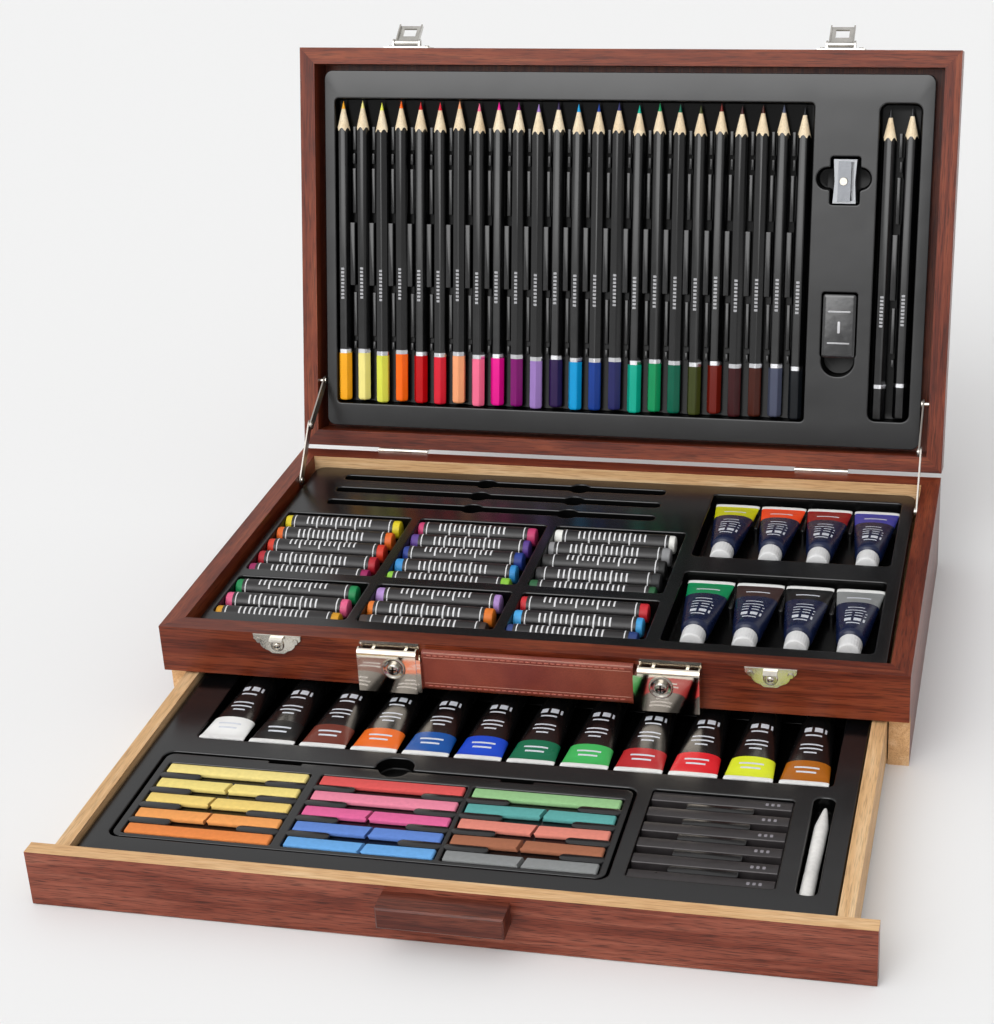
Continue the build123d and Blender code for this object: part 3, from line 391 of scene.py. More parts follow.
def well_steps(depth):
    """(inset, drop) from the flat top over the lip and down the wall to the floor."""
    return ((-0.4, 0), (0, 0), (0.2, 0.03), (0.42, 0.16), (0.6, 0.42), (0.7, 0.8),
            (0.95, depth - 1.0), (1.1, depth - 0.45), (1.45, depth - 0.12), (1.9, depth))


def formed(sheet, outline, corner, skirt, wells):
    """A formed tray about level 0. A well is a rounded box with its depth, or
    (list of boxes, depth)."""
    holes = []
    for well in wells:
        edge, depth = joined(well[0]) if isinstance(well[0], list) else None, well[-1]

        def shape(inset):
            return drawn_in(edge, inset) if edge else rounded(*well[:5], inset)

        holes.append(shape(-0.4))
        # The lip spans keep the glossy sheet; the wall and floor (finish 1) take the darker copy as painted shade.
        lay(sheet, [[(x, y, -drop) for x, y in shape(inset)] for inset, drop in well_steps(depth)],
            lambda span, side: 0 if span < 4 else 1)
        fill(sheet, shape(1.9), [], -depth, 1)
    steps = (*RIM_STEPS, (0.0, skirt))
    lay(sheet, [[(x, y, -drop) for x, y in rounded(*outline, corner, inset)] for inset, drop in steps])
    fill(sheet, rounded(*outline, corner, 0.6), holes, 0.0)


def bump_up(sheet, x0, x1, y0, y1, low, high, radius, edge=0.6):
    """A low rounded block from one level to a higher one."""
    lay(sheet, [[(x, y, z) for x, y in rounded(x0, x1, y0, y1, radius, inset, 4)] for inset, z in
                ((0, low), (0.12, high - edge), (0.12 + edge * 0.3, high - edge * 0.3), (0.12 + edge, high))],
        last=True)


def make_piece(name, sheet, finishes, body, stands_for=(), smooth=38, place=None, upward=None):
    """Turns a sheet of points into one piece that rides on a body."""
    work = bmesh.new()
    dots = [work.verts.new([c * MM for c in (place(*p) if place else p)]) for p in sheet["points"]]
    tint = work.loops.layers.float_color.new("paint")
    for corners, finish, paint in zip(sheet["faces"], sheet["finish"], sheet["paint"]):
        face = work.faces.new([dots[i] for i in corners])
        face.material_index = finish
        shade = colour(paint) if paint else (1, 1, 1, 1)
        for corner in face.loops:
            corner[tint] = shade
    bmesh.ops.remove_doubles(work, verts=work.verts, dist=2e-6)
    bmesh.ops.recalc_face_normals(work, faces=work.faces)
    if upward:
        work.normal_update()
        if sum(face.normal.dot(Vector(upward)) * face.calc_area() for face in work.faces) < 0:
            bmesh.ops.reverse_faces(work, faces=work.faces)
    mesh = bpy.data.meshes.new(name)
    work.to_mesh(mesh)
    work.free()
    mesh.shade_smooth()
    mesh.set_sharp_from_angle(angle=math.radians(smooth))
    for finish in finishes:
        mesh.materials.append(finish)
    piece = bpy.data.objects.new(name, mesh)
    scene.collection.objects.link(piece)
    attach(piece, body)
    if stands_for:
        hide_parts(*stands_for)


def even_finish(name, number, rough, metal=0.0, vary=0.12, size=60.0, tooth=0.0, tooth_size=900.0,
                coat=0.0, specular=0.5):
    """One even material: its colour drifts a little, and its gloss and surface
    are uneven at the size given in marks per metre. With no paint number it takes
    the colour painted on each face."""
    material, tree, surface = new_finish(name, rough, metal)
    where = stir(tree, "TexCoord", {}).outputs["Object"]
    drift = grain(tree, where, (size, size, size), 3.0)
    mild = shades(tree, drift, ((0.3, "9A9A9A"), (0.7, "FFFFFF")))
    if number:
        base = colour(number)
    else:
        base = stir(tree, "Attribute", {}, attribute_name="paint").outputs["Color"]
    for key, value in (("Coat Weight", coat), ("Coat Roughness", 0.12), ("Specular IOR Level", specular)):
        surface.inputs[key].default_value = value
    relief = grain(tree, where, (tooth_size,) * 3, 4.0) if tooth else None
    return finished(material, blend(tree, vary, base, mild, "MULTIPLY"),
                    reckon(tree, "MULTIPLY_ADD", drift, 0.2, rough - 0.1), relief, tooth)


def tray_finish(name, first, second, shine):
    """Black styrene sheet: glossy, faintly wavy from forming, with fine dust. Called again with darker colours and less
    shine, it paints shade into the wells.
    """
    material, tree, surface = new_finish(name, 0.3)
    surface.inputs["Specular IOR Level"].default_value = shine
    where = stir(tree, "TexCoord", {}).outputs["Object"]
    drift = grain(tree, where, (24, 24, 24), 2.0)
    dust = grain(tree, where, (1500, 1500, 1500), 2.0)
    tone = shades(tree, drift, ((0.3, first), (0.7, second)))
    specks = shades(tree, dust, ((0.70, "000000"), (0.80, "202022")))
    return finished(material, blend(tree, 0.5, tone, specks, "ADD"),
                    reckon(tree, "MULTIPLY_ADD", drift, 0.12, 0.17), drift, 0.25, 0.0012)


tray_sheet = tray_finish("tray_sheet", "080809", "0D0D0F", 0.65)
# Painted shade: the walls and floors of the wells take this darker, less shiny copy of the same black sheet.
well_painted_shade = tray_finish("tray_well_painted_shade", "040404", "070707", 0.16)
BASE_TOP, WELL_DEPTH, SLOT_DEPTH = 47.5, 10.5, 7.5
SLOT_YS, BOWL_XS, PASTEL_XS = (89.4, 72.6, 55.4), (-68.7, -13.8), (-135.0, -57.5, 20.0)
base_wells = [([(-154.5, 36.2, y - 4, y + 4, 3.2)] + [(x - 6.5, x + 6.5, y - 6.4, y + 6.4, 6.2) for x in BOWL_XS],
               SLOT_DEPTH) for y in SLOT_YS]
for x in PASTEL_XS:
    base_wells.append((x - 36.5, x + 36.5, -34.8, 39.6, 2.6, WELL_DEPTH))
    base_wells.append((x - 36.5, x + 36.5, -85.0, -41.8, 2.6, WELL_DEPTH))
base_wells += [(62.5, 168.5, 11.0, 91.6, 3.5, WELL_DEPTH), (62.5, 168.5, -85.0, -6.2, 3.5, WELL_DEPTH)]
tray = new_sheet()
formed(tray, (-174.8, 174.8, -102.0, 102.2), 6.0, 16.6, base_wells)
for x in (90.9, 116.55, 142.25):
    for y0, y1 in ((60.0, 88.0), (-36.0, -9.5)):
        bump_up(tray, x - 1.6, x + 1.6, y0, y1, -WELL_DEPTH, -5.2, 1.2)
make_piece("base_tray_sheet", tray, [tray_sheet, well_painted_shade], "case", ("base_tray",),
           place=lambda x, y, z: (x, y, z + BASE_TOP), upward=(0, 0, 1))

# The lid's tray holds the pencils between short blocks and long ribs. The last
# set of ribs stands between the two sketching pencils.
PENCIL_PITCH, PENCIL_X, PENCIL_H, LAST_RIB_X = 11.62, -164.0, 8.0, 156.1
RIB_FLOOR, LID_TRAY_H = 7.9, 4.0
RIBS = ((172.5, 186.0, 2.4, 0.2, -5.2), (164.5, 170.8, 1.9, 1.0, -2.0), (136.3, 162.2, 2.6, 0.0, -5.0),
        (94.4, 131.1, 3.4, -0.5, -2.4), (64.5, 90.5, 2.6, 0.2, -5.0), (57.3, 62.0, 2.0, 1.0, -2.2))
lid_wells = [
    (-168.6, 109.5, 24.6, 202.4, 3.0, RIB_FLOOR),
    (144.0, 168.2, 26.6, 202.4, 5.0, RIB_FLOOR),
    ([(118.3, 135.8, 146.2, 173.6, 2.0), (110.6, 142.0, 154.4, 167.6, 6.5)], 9.0),
    ([(116.2, 137.2, 62.0, 99.2, 2.0), (116.8, 136.6, 51.0, 70.0, 9.3)], 10.6),
]
tray = new_sheet()
formed(tray, (-174.2, 174.2, 11.8, 217.4), 5.0, 16.0, lid_wells)
for x in [PENCIL_X + (number + 0.5) * PENCIL_PITCH for number in range(23)] + [LAST_RIB_X]:
    for s0, s1, wide, shift, top in RIBS:
        bump_up(tray, x + shift - wide / 2, x + shift + wide / 2, s0, s1, -RIB_FLOOR, top, 0.8, 0.5)
make_piece("lid_tray_sheet", tray, [tray_sheet, well_painted_shade], "lid", ("lid_tray",),
           place=lambda x, s, z: lid_point(x, s, LID_TRAY_H - z), upward=(0, -0.9, 0.2))

# ---------------------------------------------------------------- pencils
# Six-sided pencils in black lacquer. Each coloured one is dipped in its colour
# under a silver band at the foot. All are sharpened to bare cedar and a point.
black_lacquer = even_finish("black_lacquer", "060607", 0.2, vary=0.2, size=90, specular=0.6)
sharpened_wood = wood_finish("sharpened_cedar", 2, ((0.3, "D8BE98"), (0.6, "EEDDBE"), (0.8, "F8EDD8")), pores=0.2,
                             gloss=0.6)
pencil_colour = even_finish("pencil_colour", None, 0.22, size=80, specular=0.26)
silver_band = even_finish("silver_band", "D9D9DC", 0.25, 1.0, vary=0.1, tooth=0.1)
white_print = even_finish("white_print", "A9A9AC", 0.5, vary=0.2, size=700)
PENCIL_FINISHES = [black_lacquer, sharpened_wood, pencil_colour, silver_band, white_print]
LACQUER, CEDAR, DIP, BAND, PRINT = range(5)
PENCIL_HALF, CONE_LENGTH = 3.5, 15.5


def hex_reach(angle):
    """Distance from the middle of a slightly rounded six-sided pencil to its side."""
    turn = (angle + math.pi / 6) % (math.pi / 3) - math.pi / 6
    return min(PENCIL_HALF / math.cos(turn), PENCIL_HALF * 1.125)


def pencil(sheet, x, foot, length, number, dipped=28.0, turn=0.26, marks=(60.0, 79.0)):
    """One pencil along the lid. turn rolls it; marks is the printed stretch."""
    sides, slope = 36, PENCIL_HALF / CONE_LENGTH
    front = range(25, 28)
    angles = [2 * math.pi * i / sides for i in range(sides)]

    def scallop(a):
        return length - hex_reach(a - turn) / slope

    def placed(at, scale):
        spots = []
        for a in angles:
            reach = hex_reach(a - turn) * scale
            s = at(a) if callable(at) else at
            spots.append((x + reach * math.cos(a), foot + s, PENCIL_H + reach * math.sin(a)))
        return spots

    def cone(d):
        r = d * slope
        return [(x + r * math.cos(a), foot + length - d, PENCIL_H + r * math.sin(a)) for a in angles]

    if dipped:
        spans = [(0.0, 0.55, DIP), (0.35, 0.84, DIP), (1.0, 0.97, DIP), (2.0, 1.015, DIP), (dipped, 1.015, DIP),
                 (dipped + 0.02, 1.03, BAND), (dipped + 2.4, 1.03, BAND), (dipped + 2.42, 1.0, LACQUER)]
    else:
        spans = [(0.0, 0.8, LACQUER), (0.4, 0.96, LACQUER), (1.0, 1.0, LACQUER), (17.6, 1.0, LACQUER),
                 (17.65, 1.025, BAND), (19.8, 1.025, BAND), (19.85, 1.0, LACQUER)]
    dash = (marks[1] - marks[0]) / 9
    for i in range(9):
        spans += [(marks[0] + i * dash, 1.0, PRINT), (marks[0] + (i + 0.6) * dash, 1.0, LACQUER)]
    spans += [(marks[1], 1.0, LACQUER), (scallop, 1.0, CEDAR)]

    def finish(span, side):
        kind = spans[span][2]
        return LACQUER if kind == PRINT and side not in front else kind

    lay(sheet, [placed(at, scale) for at, scale, _ in spans], finish, number, first=True)
    lay(sheet, [placed(scallop, 1.0)] + [cone(d) for d in (12.0, 8.0, 4.8)], CEDAR)
    lay(sheet, [cone(d) for d in (4.8, 2.4, 0.8, 0.25)], DIP, number, last=True)


PENCIL_COLOURS = (
    "FBAE20 F3E68A DDE04F FF6A0B C10A12 D81E34 F9A877 F46F92 EC1291 7E0A6A 9C7BBE 2D1A4A "
    "0C9BD7 123A8C 26285E 0CA88E 0E8E57 015C45 3B4219 6A1A10 3A1215 43190E 4A4F63 15181C"
).split()
for group, node in enumerate(("coloured_pencils_left", "coloured_pencils_middle", "coloured_pencils_right")):
    pencils = new_sheet()
    for number in range(group * 8, group * 8 + 8):
        pencil(pencils, PENCIL_X + number * PENCIL_PITCH, 26.6 + 0.7 * math.sin(2.4 * number), 174.0,
               PENCIL_COLOURS[number], turn=0.3 + 0.22 * math.sin(1.7 * number + 1.0))
    make_piece(node + "_piece", pencils, PENCIL_FINISHES, "lid", (node,), smooth=24, place=lid_point)
pencils = new_sheet()
for x, foot, turn in ((150.2, 28.0, 0.3), (162.0, 29.0, 0.5)):
    pencil(pencils, x, foot, 171.0, "2A2A2C", dipped=0.0, turn=turn, marks=(52.0, 70.0))
make_piece("sketch_pencils_piece", pencils, PENCIL_FINISHES, "lid", ("sketch_pencils",), smooth=24,
           place=lid_point)

# ---------------------------------------------------------------- sharpener and eraser
# A cast light-alloy wedge sharpener with its steel blade and one screw, and a
# dark eraser wrapped in clear film.
light_alloy = even_finish("light_alloy", "A2A4A7", 0.42, 1.0, vary=0.15, size=220, tooth=0.3, tooth_size=1800)
blade_steel = even_finish("blade_steel", "7E8084", 0.24, 1.0, vary=0.2, size=260, tooth=0.1)
bright_nickel = even_finish("bright_nickel", "C4BFB6", 0.16, 1.0, vary=0.2, size=120, tooth=0.08, tooth_size=700)
dress("sharpener_body", light_alloy, 0.35)
dress("sharpener_blade", blade_steel, 0.1)
dress("lid_screws", bright_nickel, 0.15)
eraser_film = even_finish("eraser_in_film", "1B1B1D", 0.16, vary=0.4, size=240, tooth=0.7, tooth_size=260, coat=1.0)
eraser_print = even_finish("eraser_print", "CFCFD2", 0.3, vary=0.2, coat=0.6)
block = new_sheet()
lay(block, [[(x, s, h) for x, s in rounded(117.6, 136.0, 62.1, 97.7, 1.6, inset)] for inset, h in
            ((0.9, 14.2), (0.2, 13.6), (0.0, 12.8), (0.0, 4.6), (0.15, 3.7), (0.7, 3.2), (1.6, 3.1))],
    first=True, last=True)
for s0, s1, x0, x1 in ((70.0, 70.8, 120.5, 133.0), (87.6, 88.4, 120.5, 133.0), (76.0, 82.5, 126.1, 127.5)):
    lay(block, [[(x, s, h) for x, s in rounded(x0, x1, s0, s1, 0.3, inset)] for inset, h in ((0, 3.04), (0.1, 3.0))],
        1, last=True)
make_piece("eraser_piece", block, [eraser_film, eraser_print], "lid", ("eraser",), place=lid_point)

# ---------------------------------------------------------------- oil pastels
# Round wax sticks in charcoal paper sleeves. A few millimetres of colour show at
# each end, and each sleeve carries a plain white scale.
wax = even_finish("pastel_wax", None, 0.5, vary=0.25, size=300, tooth=0.5, tooth_size=1400)
sleeve_paper = even_finish("sleeve_paper", "1E1B1C", 0.36, vary=0.3, size=140, tooth=0.25, tooth_size=2600)
sleeve_print = even_finish("sleeve_print", "DDDDDE", 0.5, vary=0.2, size=900)
WAX, SLEEVE, SCALE = range(3)
PASTEL_Z, PASTEL_PITCH = 42.5, 15.4


def pastel(sheet, x_mid, y, z, number, slip, roll):
    """One stick across the case. slip moves its sleeve and roll turns it."""
    sides, half, wax_r, sleeve_r = 32, 33.5, 5.0, 5.35
    x0, x1 = x_mid - half, x_mid + half

    def ring(x, r):
        return [(x, y + a, z + b) for a, b in circle(r, sides)]

    lay(sheet, [ring(x, r) for x, r in ((x0, 3.9), (x0 + 0.35, 4.7), (x0 + 1.2, wax_r), (x1 - 1.2, wax_r),
                                        (x1 - 0.35, 4.7), (x1, 3.9))], WAX, number, first=True, last=True)
    start, end = x0 + 4.0 + slip, x1 - 4.0 + slip
    places = [start, start + 0.5, start + 1.6, start + 2.2]
    x = start + 9.0
    while x < end - 12.0:
        places += [x, x + 0.9]
        x += 2.8
    places += [end - 2.2, end - 1.6, end - 0.5, end]
    last_line = len(places) - 4
    up = int(sides * (0.32 + roll)) % sides

    def finish(span, side):
        if span % 2 or not 2 <= span <= last_line:
            return SLEEVE
        if span in (2, last_line):
            return SCALE
        reach = 2 if (span // 2) % 4 else 4
        return SCALE if abs((side - up + sides // 2) % sides - sides // 2) <= reach else SLEEVE

    lay(sheet, [ring(start - 0.02, wax_r - 0.1), ring(start, sleeve_r - 0.05)], SLEEVE)
    lay(sheet, [ring(place, sleeve_r) for place in places], finish)
    lay(sheet, [ring(end, sleeve_r - 0.05), ring(end + 0.02, wax_r - 0.1)], SLEEVE)


PASTELS = {
    "oil_pastels_left": "E8D21E E86A1C D8361C B5182A 9E1A5C 0E8A4E E8608C D89A1C",
    "oil_pastels_middle": "C83A6E 5A3A8E 1E3A8E 2E8ED0 8CC83A B08ACC E87A1E 3A2A24",
    "oil_pastels_right": "ECECE6 8E8E90 1A1A1A 2A2A2C 1E5A34 C81E2A 3EA0DC 1E3A78",
}
for well_x, (node, tints) in zip(PASTEL_XS, PASTELS.items()):
    sticks = new_sheet()
    for number, tint in enumerate(tints.split()):
        y = 33.0 - PASTEL_PITCH * number if number < 5 else -48.0 - PASTEL_PITCH * (number - 5)
        slip, roll = 0.7 * math.sin(3.1 * number + well_x), 0.05 * math.sin(2.3 * number)
        pastel(sticks, well_x - 2.2, y, PASTEL_Z, tint, slip, roll)
    make_piece(node + "_piece", sticks, [wax, sleeve_paper, sleeve_print], "case", (node,))

# ---------------------------------------------------------------- paint tubes
# Soft metal tubes, drawn flat from a round shoulder to a folded crimp. Eight
# small dark-blue ones lie in the case and twelve larger black ones in the drawer.
navy_tube = even_finish("navy_tube", "101B3C", 0.28, vary=0.25, size=110, tooth=0.25, tooth_size=300, specular=0.4)
black_tube = even_finish("black_tube", "0C0C0D", 0.24, vary=0.2, size=110, tooth=0.25, tooth_size=300)
tube_band = even_finish("tube_band", None, 0.32, size=110, tooth=0.2, tooth_size=300, specular=0.22)
crimp_white = even_finish("crimp_white", "ECECEA", 0.35, vary=0.15, size=400)
tube_print = even_finish("tube_print", "D4D8E0", 0.4, vary=0.2, size=500)
TUBE_FINISHES = [tube_band, crimp_white, tube_print]
SHELL, STRIPE, CRIMP, ROWS = range(4)


def tube(sheet, x, cap_y, z, way, number, length, crimp_w, shoulder_r, cap_len, band, rows, rise=0.0):
    """One tube. way is +1 with the crimp to the back, -1 with it to the front;
    band and rows are coloured and printed stretches as parts of the length, a
    row with its reach round the tube; rise lifts the crimp."""
    sides, crimp_half = 48, 0.75
    s0, s1 = cap_len + 1.2, length
    fold, white = s1 - 5.0, s1 - 3.2

    def part(p):
        return s0 + (s1 - s0) * p

    def ring(s, scale=1.0):
        if s > fold:
            wide, tall, blunt, thin = crimp_w / 2, crimp_half, 0.55, 0.5
        else:
            t = min(max((s - s0 - 2.6) / (fold - s0 - 2.6), 0.0), 1.0)
            wide = shoulder_r + (crimp_w / 2 - shoulder_r) * t ** 0.85
            tall = shoulder_r * (1 - t) ** 0.72 + crimp_half * t + 0.25 * math.sin(9 * t + x) * t * (1 - t)
            blunt, thin = 0.9, 1.0
        return [(x + scale * wide * math.copysign(abs(c) ** blunt, c), cap_y + way * s,
                 z + rise * s + scale * tall * math.copysign(abs(d) ** thin, d)) for c, d in circle(1.0, sides)]

    lay(sheet, [ring(s0 + s, scale) for s, scale in ((-0.9, 0.55), (0, 0.62), (0.5, 0.86), (1.6, 0.97), (2.8, 1.0))],
        SHELL, first=True)
    steps = sorted({s0 + 2.8 + (fold - s0 - 2.8) * i / 14 for i in range(15)}
                   | {part(p) for p in band} | {part(p) for row in rows for p in row[:2]})
    steps = [s for s in steps if s0 + 2.7 < s <= s1 - 4.9]

    def finish(span, side):
        middle = (steps[span] + steps[span + 1]) / 2
        around = abs((side + 0.5) / sides - 0.25)
        for p0, p1, reach in rows:
            if part(p0) < middle < part(p1) and around < reach and (side % 4 or reach < 0.1):
                return ROWS
        return STRIPE if part(band[0]) < middle < part(band[1]) else SHELL

    lay(sheet, [ring(s) for s in steps], finish, number)
    lay(sheet, [ring(steps[-1]), ring(white)], STRIPE, number)
    lay(sheet, [ring(s, scale) for s, scale in ((white, 1.0), (white + 0.05, 1.0), (white + 0.3, 1.02),
                                                (s1 - 0.3, 1.02), (s1, 0.96))], CRIMP, last=True)


WATER_XS, WATER_YS, WATER_Z, WATER_CAP = (78.0, 103.8, 129.3, 155.2), (14.8, -80.8), 44.3, 10.5
WATER_TINTS = ("C9C90D F2471B 8E1119 3C3F9C".split(), "0E8A54 3E2B29 191919 8A8C8C".split())
WATER_ROWS = ((0.16, 0.18, 0.07), (0.22, 0.28, 0.11), (0.33, 0.345, 0.10), (0.39, 0.405, 0.10), (0.45, 0.465, 0.08),
              (0.52, 0.535, 0.06), (0.76, 0.785, 0.09))
tubes = new_sheet()
for y, tints in zip(WATER_YS, WATER_TINTS):
    for x, tint in zip(WATER_XS, tints):
        tube(tubes, x, y, WATER_Z, 1, tint, 68.8, 24.0, 7.2, WATER_CAP, (0.66, 0.955), WATER_ROWS)
make_piece("watercolour_tubes_piece", tubes, [navy_tube] + TUBE_FINISHES, "case",
           ("watercolour_tubes",), smooth=45)

ACRYLIC_XS = [-137.6 + 25.6 * i for i in range(12)]
ACRYLIC_Y, ACRYLIC_Z, ACRYLIC_CAP, ACRYLIC_RISE = -91.1, 16.0, 13.0, 0.096
ACRYLIC_TINTS = "ECECEA 151515 6E3226 E66A1E 0A4F9C 1246C4 0C6B4A 3FB05A B5262A D81E28 D9E22C A85F10".split()
ACRYLIC_ROWS = ((0.24, 0.30, 0.10), (0.34, 0.36, 0.07), (0.47, 0.488, 0.09), (0.525, 0.543, 0.08),
                (0.58, 0.598, 0.05), (0.78, 0.80, 0.09), (0.835, 0.855, 0.06))
tubes = new_sheet()
for x, tint in zip(ACRYLIC_XS, ACRYLIC_TINTS):
    tube(tubes, x, ACRYLIC_Y, ACRYLIC_Z, -1, tint, 78.0, 22.4, 7.9, ACRYLIC_CAP, (0.70, 0.955), ACRYLIC_ROWS,
         ACRYLIC_RISE)
make_piece("acrylic_tubes_piece", tubes, [black_tube] + TUBE_FINISHES, "drawer",
           ("acrylic_tubes",), smooth=45)


# ---------------------------------------------------------------- tube caps
# Moulded screw caps with fine flutes round the side: white on the small tubes,
# black on the large ones.
def cap(sheet, x, y, z, way, radius, length, rise=0.0):
    """One fluted cap on the tube's neck."""
    rings = []
    for s, scale, flute in ((0.0, 0.02, 0), (0.0, 0.72, 0), (0.25, 0.86, 0), (0.9, 0.95, 0.3), (1.4, 0.97, 1),
                            (length - 1.0, 1.0, 1), (length - 0.4, 1.0, 0.3), (length, 0.97, 0), (length, 0.5, 0)):
        ring = []
        for i, (c, d) in enumerate(circle(1.0, 72)):
            r = radius * scale - (0.22 * flute if i % 3 == 0 else 0.0)
            ring.append((x + r * c, y + way * s, z + rise * s + r * d))
        rings.append(ring)
    lay(sheet, rings, last=True, first=True)


white_cap = even_finish("white_cap_plastic", "DADADA", 0.3, vary=0.1, size=200)
black_cap = even_finish("black_cap_plastic", "141416", 0.3, vary=0.2, size=200)
caps = new_sheet()
for y in WATER_YS:
    for x in WATER_XS:
        cap(caps, x, y, WATER_Z, 1, 6.0, WATER_CAP)
make_piece("watercolour_caps_piece", caps, [white_cap], "case", ("watercolour_caps",), smooth=30)
caps = new_sheet()
for x in ACRYLIC_XS:
    cap(caps, x, ACRYLIC_Y, ACRYLIC_Z, -1, 7.0, ACRYLIC_CAP, ACRYLIC_RISE)
make_piece("acrylic_caps_piece", caps, [black_cap], "drawer", ("acrylic_caps",), smooth=30)

# ---------------------------------------------------------------- metal fittings
# Pressed steel, nickel plated: hasps and their plates, hinge leaves, studs and
# screws. The hinge pins and the thin stay links are plain bright steel.
nickel = even_finish("nickel_plate", "E0DACF", 0.2, 1.0, vary=0.3, size=90, tooth=0.12, tooth_size=900)
dark_nickel = even_finish("worn_nickel", "CFCCC6", 0.22, 1.0, vary=0.4, size=120, tooth=0.12, tooth_size=900)
pale_link = even_finish("stay_steel", "B4AFA8", 0.36, 1.0, vary=0.15, size=200, tooth=0.1)
for metal, edge, names in (
    (dark_nickel, 0.2, "latch_plates hasp_left hasp_right"), (nickel, 0.2, "base_stay_studs lid_stay_studs"),
    (nickel, 0.15, "handle_brackets base_hinge_leaves lid_hinge_leaves"), (bright_nickel, 0.15, "base_screws"),
    (pale_link, 0.1, "hinge_pins"),
    (pale_link, 0.15, "stay_lower_left stay_lower_right stay_upper_left stay_upper_right"),
):
    for node in names.split():
        dress(node, metal, edge)

# ---------------------------------------------------------------- catches
# Each catch is a shaped plate pressed from nickel-plated steel, with a round
# boss under the small hook that the hasp snaps over.
CATCH_TOP, CASE_FRONT, CATCH_HALF, CATCH_TALL = 53.2, -115.0, 12.6, 10.3
CATCH_SIDE = [(12.6, 0.0), (12.5, -2.4), (11.4, -3.5), (9.7, -4.0), (8.9, -6.4), (7.4, -7.9), (5.0, -8.9), (3.2, -10.3)]
CATCH_EDGE = CATCH_SIDE + [(-px, pz) for px, pz in reversed(CATCH_SIDE)]
BOSS = ((3.6, 0.9), (3.5, 1.5), (3.1, 1.9), (2.5, 1.95), (2.2, 1.6), (1.9, 1.6), (1.7, 2.3), (1.2, 2.7), (0.3, 2.85))
LIP = ((0.9, -0.9), (2.0, -0.8), (3.2, -1.6), (3.5, -2.6), (3.2, -2.9), (2.6, -2.3), (1.8, -1.7), (0.9, -1.8))
for x, node in ((-124.5, "catch_left"), (122.0, "catch_right")):
    plate = new_sheet()
    lay(plate, [[(x + px * (1 - ease / CATCH_HALF), CASE_FRONT - out,
                  CATCH_TOP + pz * (1 - ease / CATCH_TALL) - ease / 2) for px, pz in CATCH_EDGE]
                for ease, out in ((0.0, 0.0), (0.0, 0.7), (0.25, 0.9))], last=True)
    lay(plate, [[(x + a, CASE_FRONT - out, CATCH_TOP - 5.2 + b) for a, b in circle(r, 32)] for r, out in BOSS],
        last=True)
    lay(plate, [[(x + px, CASE_FRONT - out, CATCH_TOP + pz) for out, pz in LIP] for px in (-3.4, -3.2, 3.2, 3.4)],
        first=True, last=True)
    make_piece(node + "_piece", plate, [nickel], "case", (node,))

# ---------------------------------------------------------------- carrying handle
# A leather strap between two mirror-plated covers. A cross-headed screw in a
# dished washer holds the strap in each cover.
mirror_plate = even_finish("mirror_plate", "E6DACB", 0.07, 1.0, vary=0.12, size=60)
dress("handle_covers", mirror_plate, 0.3)
# Painted shade: a dark metal standing in for the shade inside the cross of each screw head.
painted_shade_cross = even_finish("screw_cross_painted_shade", "2A2826", 0.5, 1.0, vary=0.3)
RIVET_Z = 42.9
WASHER = ((6.0, -122.9), (5.95, -123.3), (5.7, -123.7), (5.3, -123.79), (4.9, -123.7), (4.3, -123.35), (3.3, -123.2))
SCREW_HEAD = ((3.1, -123.2), (3.05, -124.0), (2.8, -124.4), (2.2, -124.65), (1.2, -124.78), (0.3, -124.8))
rivets = new_sheet()
for x in (-62.4, 70.5):
    for turned in (WASHER, SCREW_HEAD):
        lay(rivets, [[(x + a, y, RIVET_Z + b) for a, b in circle(r, 40)] for r, y in turned], last=True)
    # The cross is a thin dark sheet laid over the dome of the head, painted shade rather than a cut.
    for wide, tall in ((0.42, 1.9), (1.9, 0.42)):
        bar = [(x + a * wide, RIVET_Z + b * tall) for a, b in ((-1, -1), (1, -1), (1, 1), (-1, 1))]
        lay(rivets, [[(px, y, pz) for px, pz in bar] for y in (-124.5, -124.82)], 1, last=True)
make_piece("handle_rivets_piece", rivets, [bright_nickel, painted_shade_cross], "handle", ("handle_rivets",))


def leather_finish():
    """Smooth red-brown leather with a fine pebbled skin."""
    material, tree, _ = new_finish("strap_leather", 0.42)
    where = stir(tree, "TexCoord", {}).outputs["Object"]
    broad = grain(tree, where, (35, 35, 35), 3.0)
    pebble = grain(tree, where, (2200, 2200, 2200), 3.0)
    tone = shades(tree, broad, ((0.3, "7A3226"), (0.7, "9A4C38")))
    pits = shades(tree, pebble, ((0.35, "9A8A84"), (0.6, "FFFFFF")))
    return finished(material, blend(tree, 0.6, tone, pits, "MULTIPLY"),
                    reckon(tree, "MULTIPLY_ADD", pebble, 0.2, 0.3), pebble, 0.4)


leather = leather_finish()
dress("handle_grip", leather, 0.9)
thread = even_finish("waxed_thread", "B05F4E", 0.5, vary=0.25, size=900)
edge_paint = even_finish("strap_edge", "C08A78", 0.4, vary=0.2, size=300)
STRAP_FRONT, STITCH_PITCH = -120.5, 3.1
seam = new_sheet()
for row_z in (33.4, 50.2):
    for number in range(32):
        x = -46.0 + number * STITCH_PITCH
        lay(seam, [[(x + along, STRAP_FRONT - 0.02 + a, row_z + 1.3 * b) for a, b in circle(r, 8)] for along, r in
                   ((0.0, 0.08), (0.2, 0.24), (1.3, 0.28), (2.2, 0.24), (2.4, 0.08))], first=True, last=True)
for row_z, tall in ((51.5, 0.16), (49.0, 0.12), (34.9, 0.12)):
    bar = [[(x, STRAP_FRONT + (0.35 if row_z > 51 else 0.0) + dy, row_z + dz) for dy, dz in
            ((0.3, -tall), (-0.10, -tall), (-0.16, 0.0), (-0.10, tall), (0.3, tall))] for x in (-47.5, 0.0, 55.5)]
    lay(seam, bar, 1, first=True, last=True)
make_piece("grip_seam", seam, [thread, edge_paint], "handle", (), smooth=60)

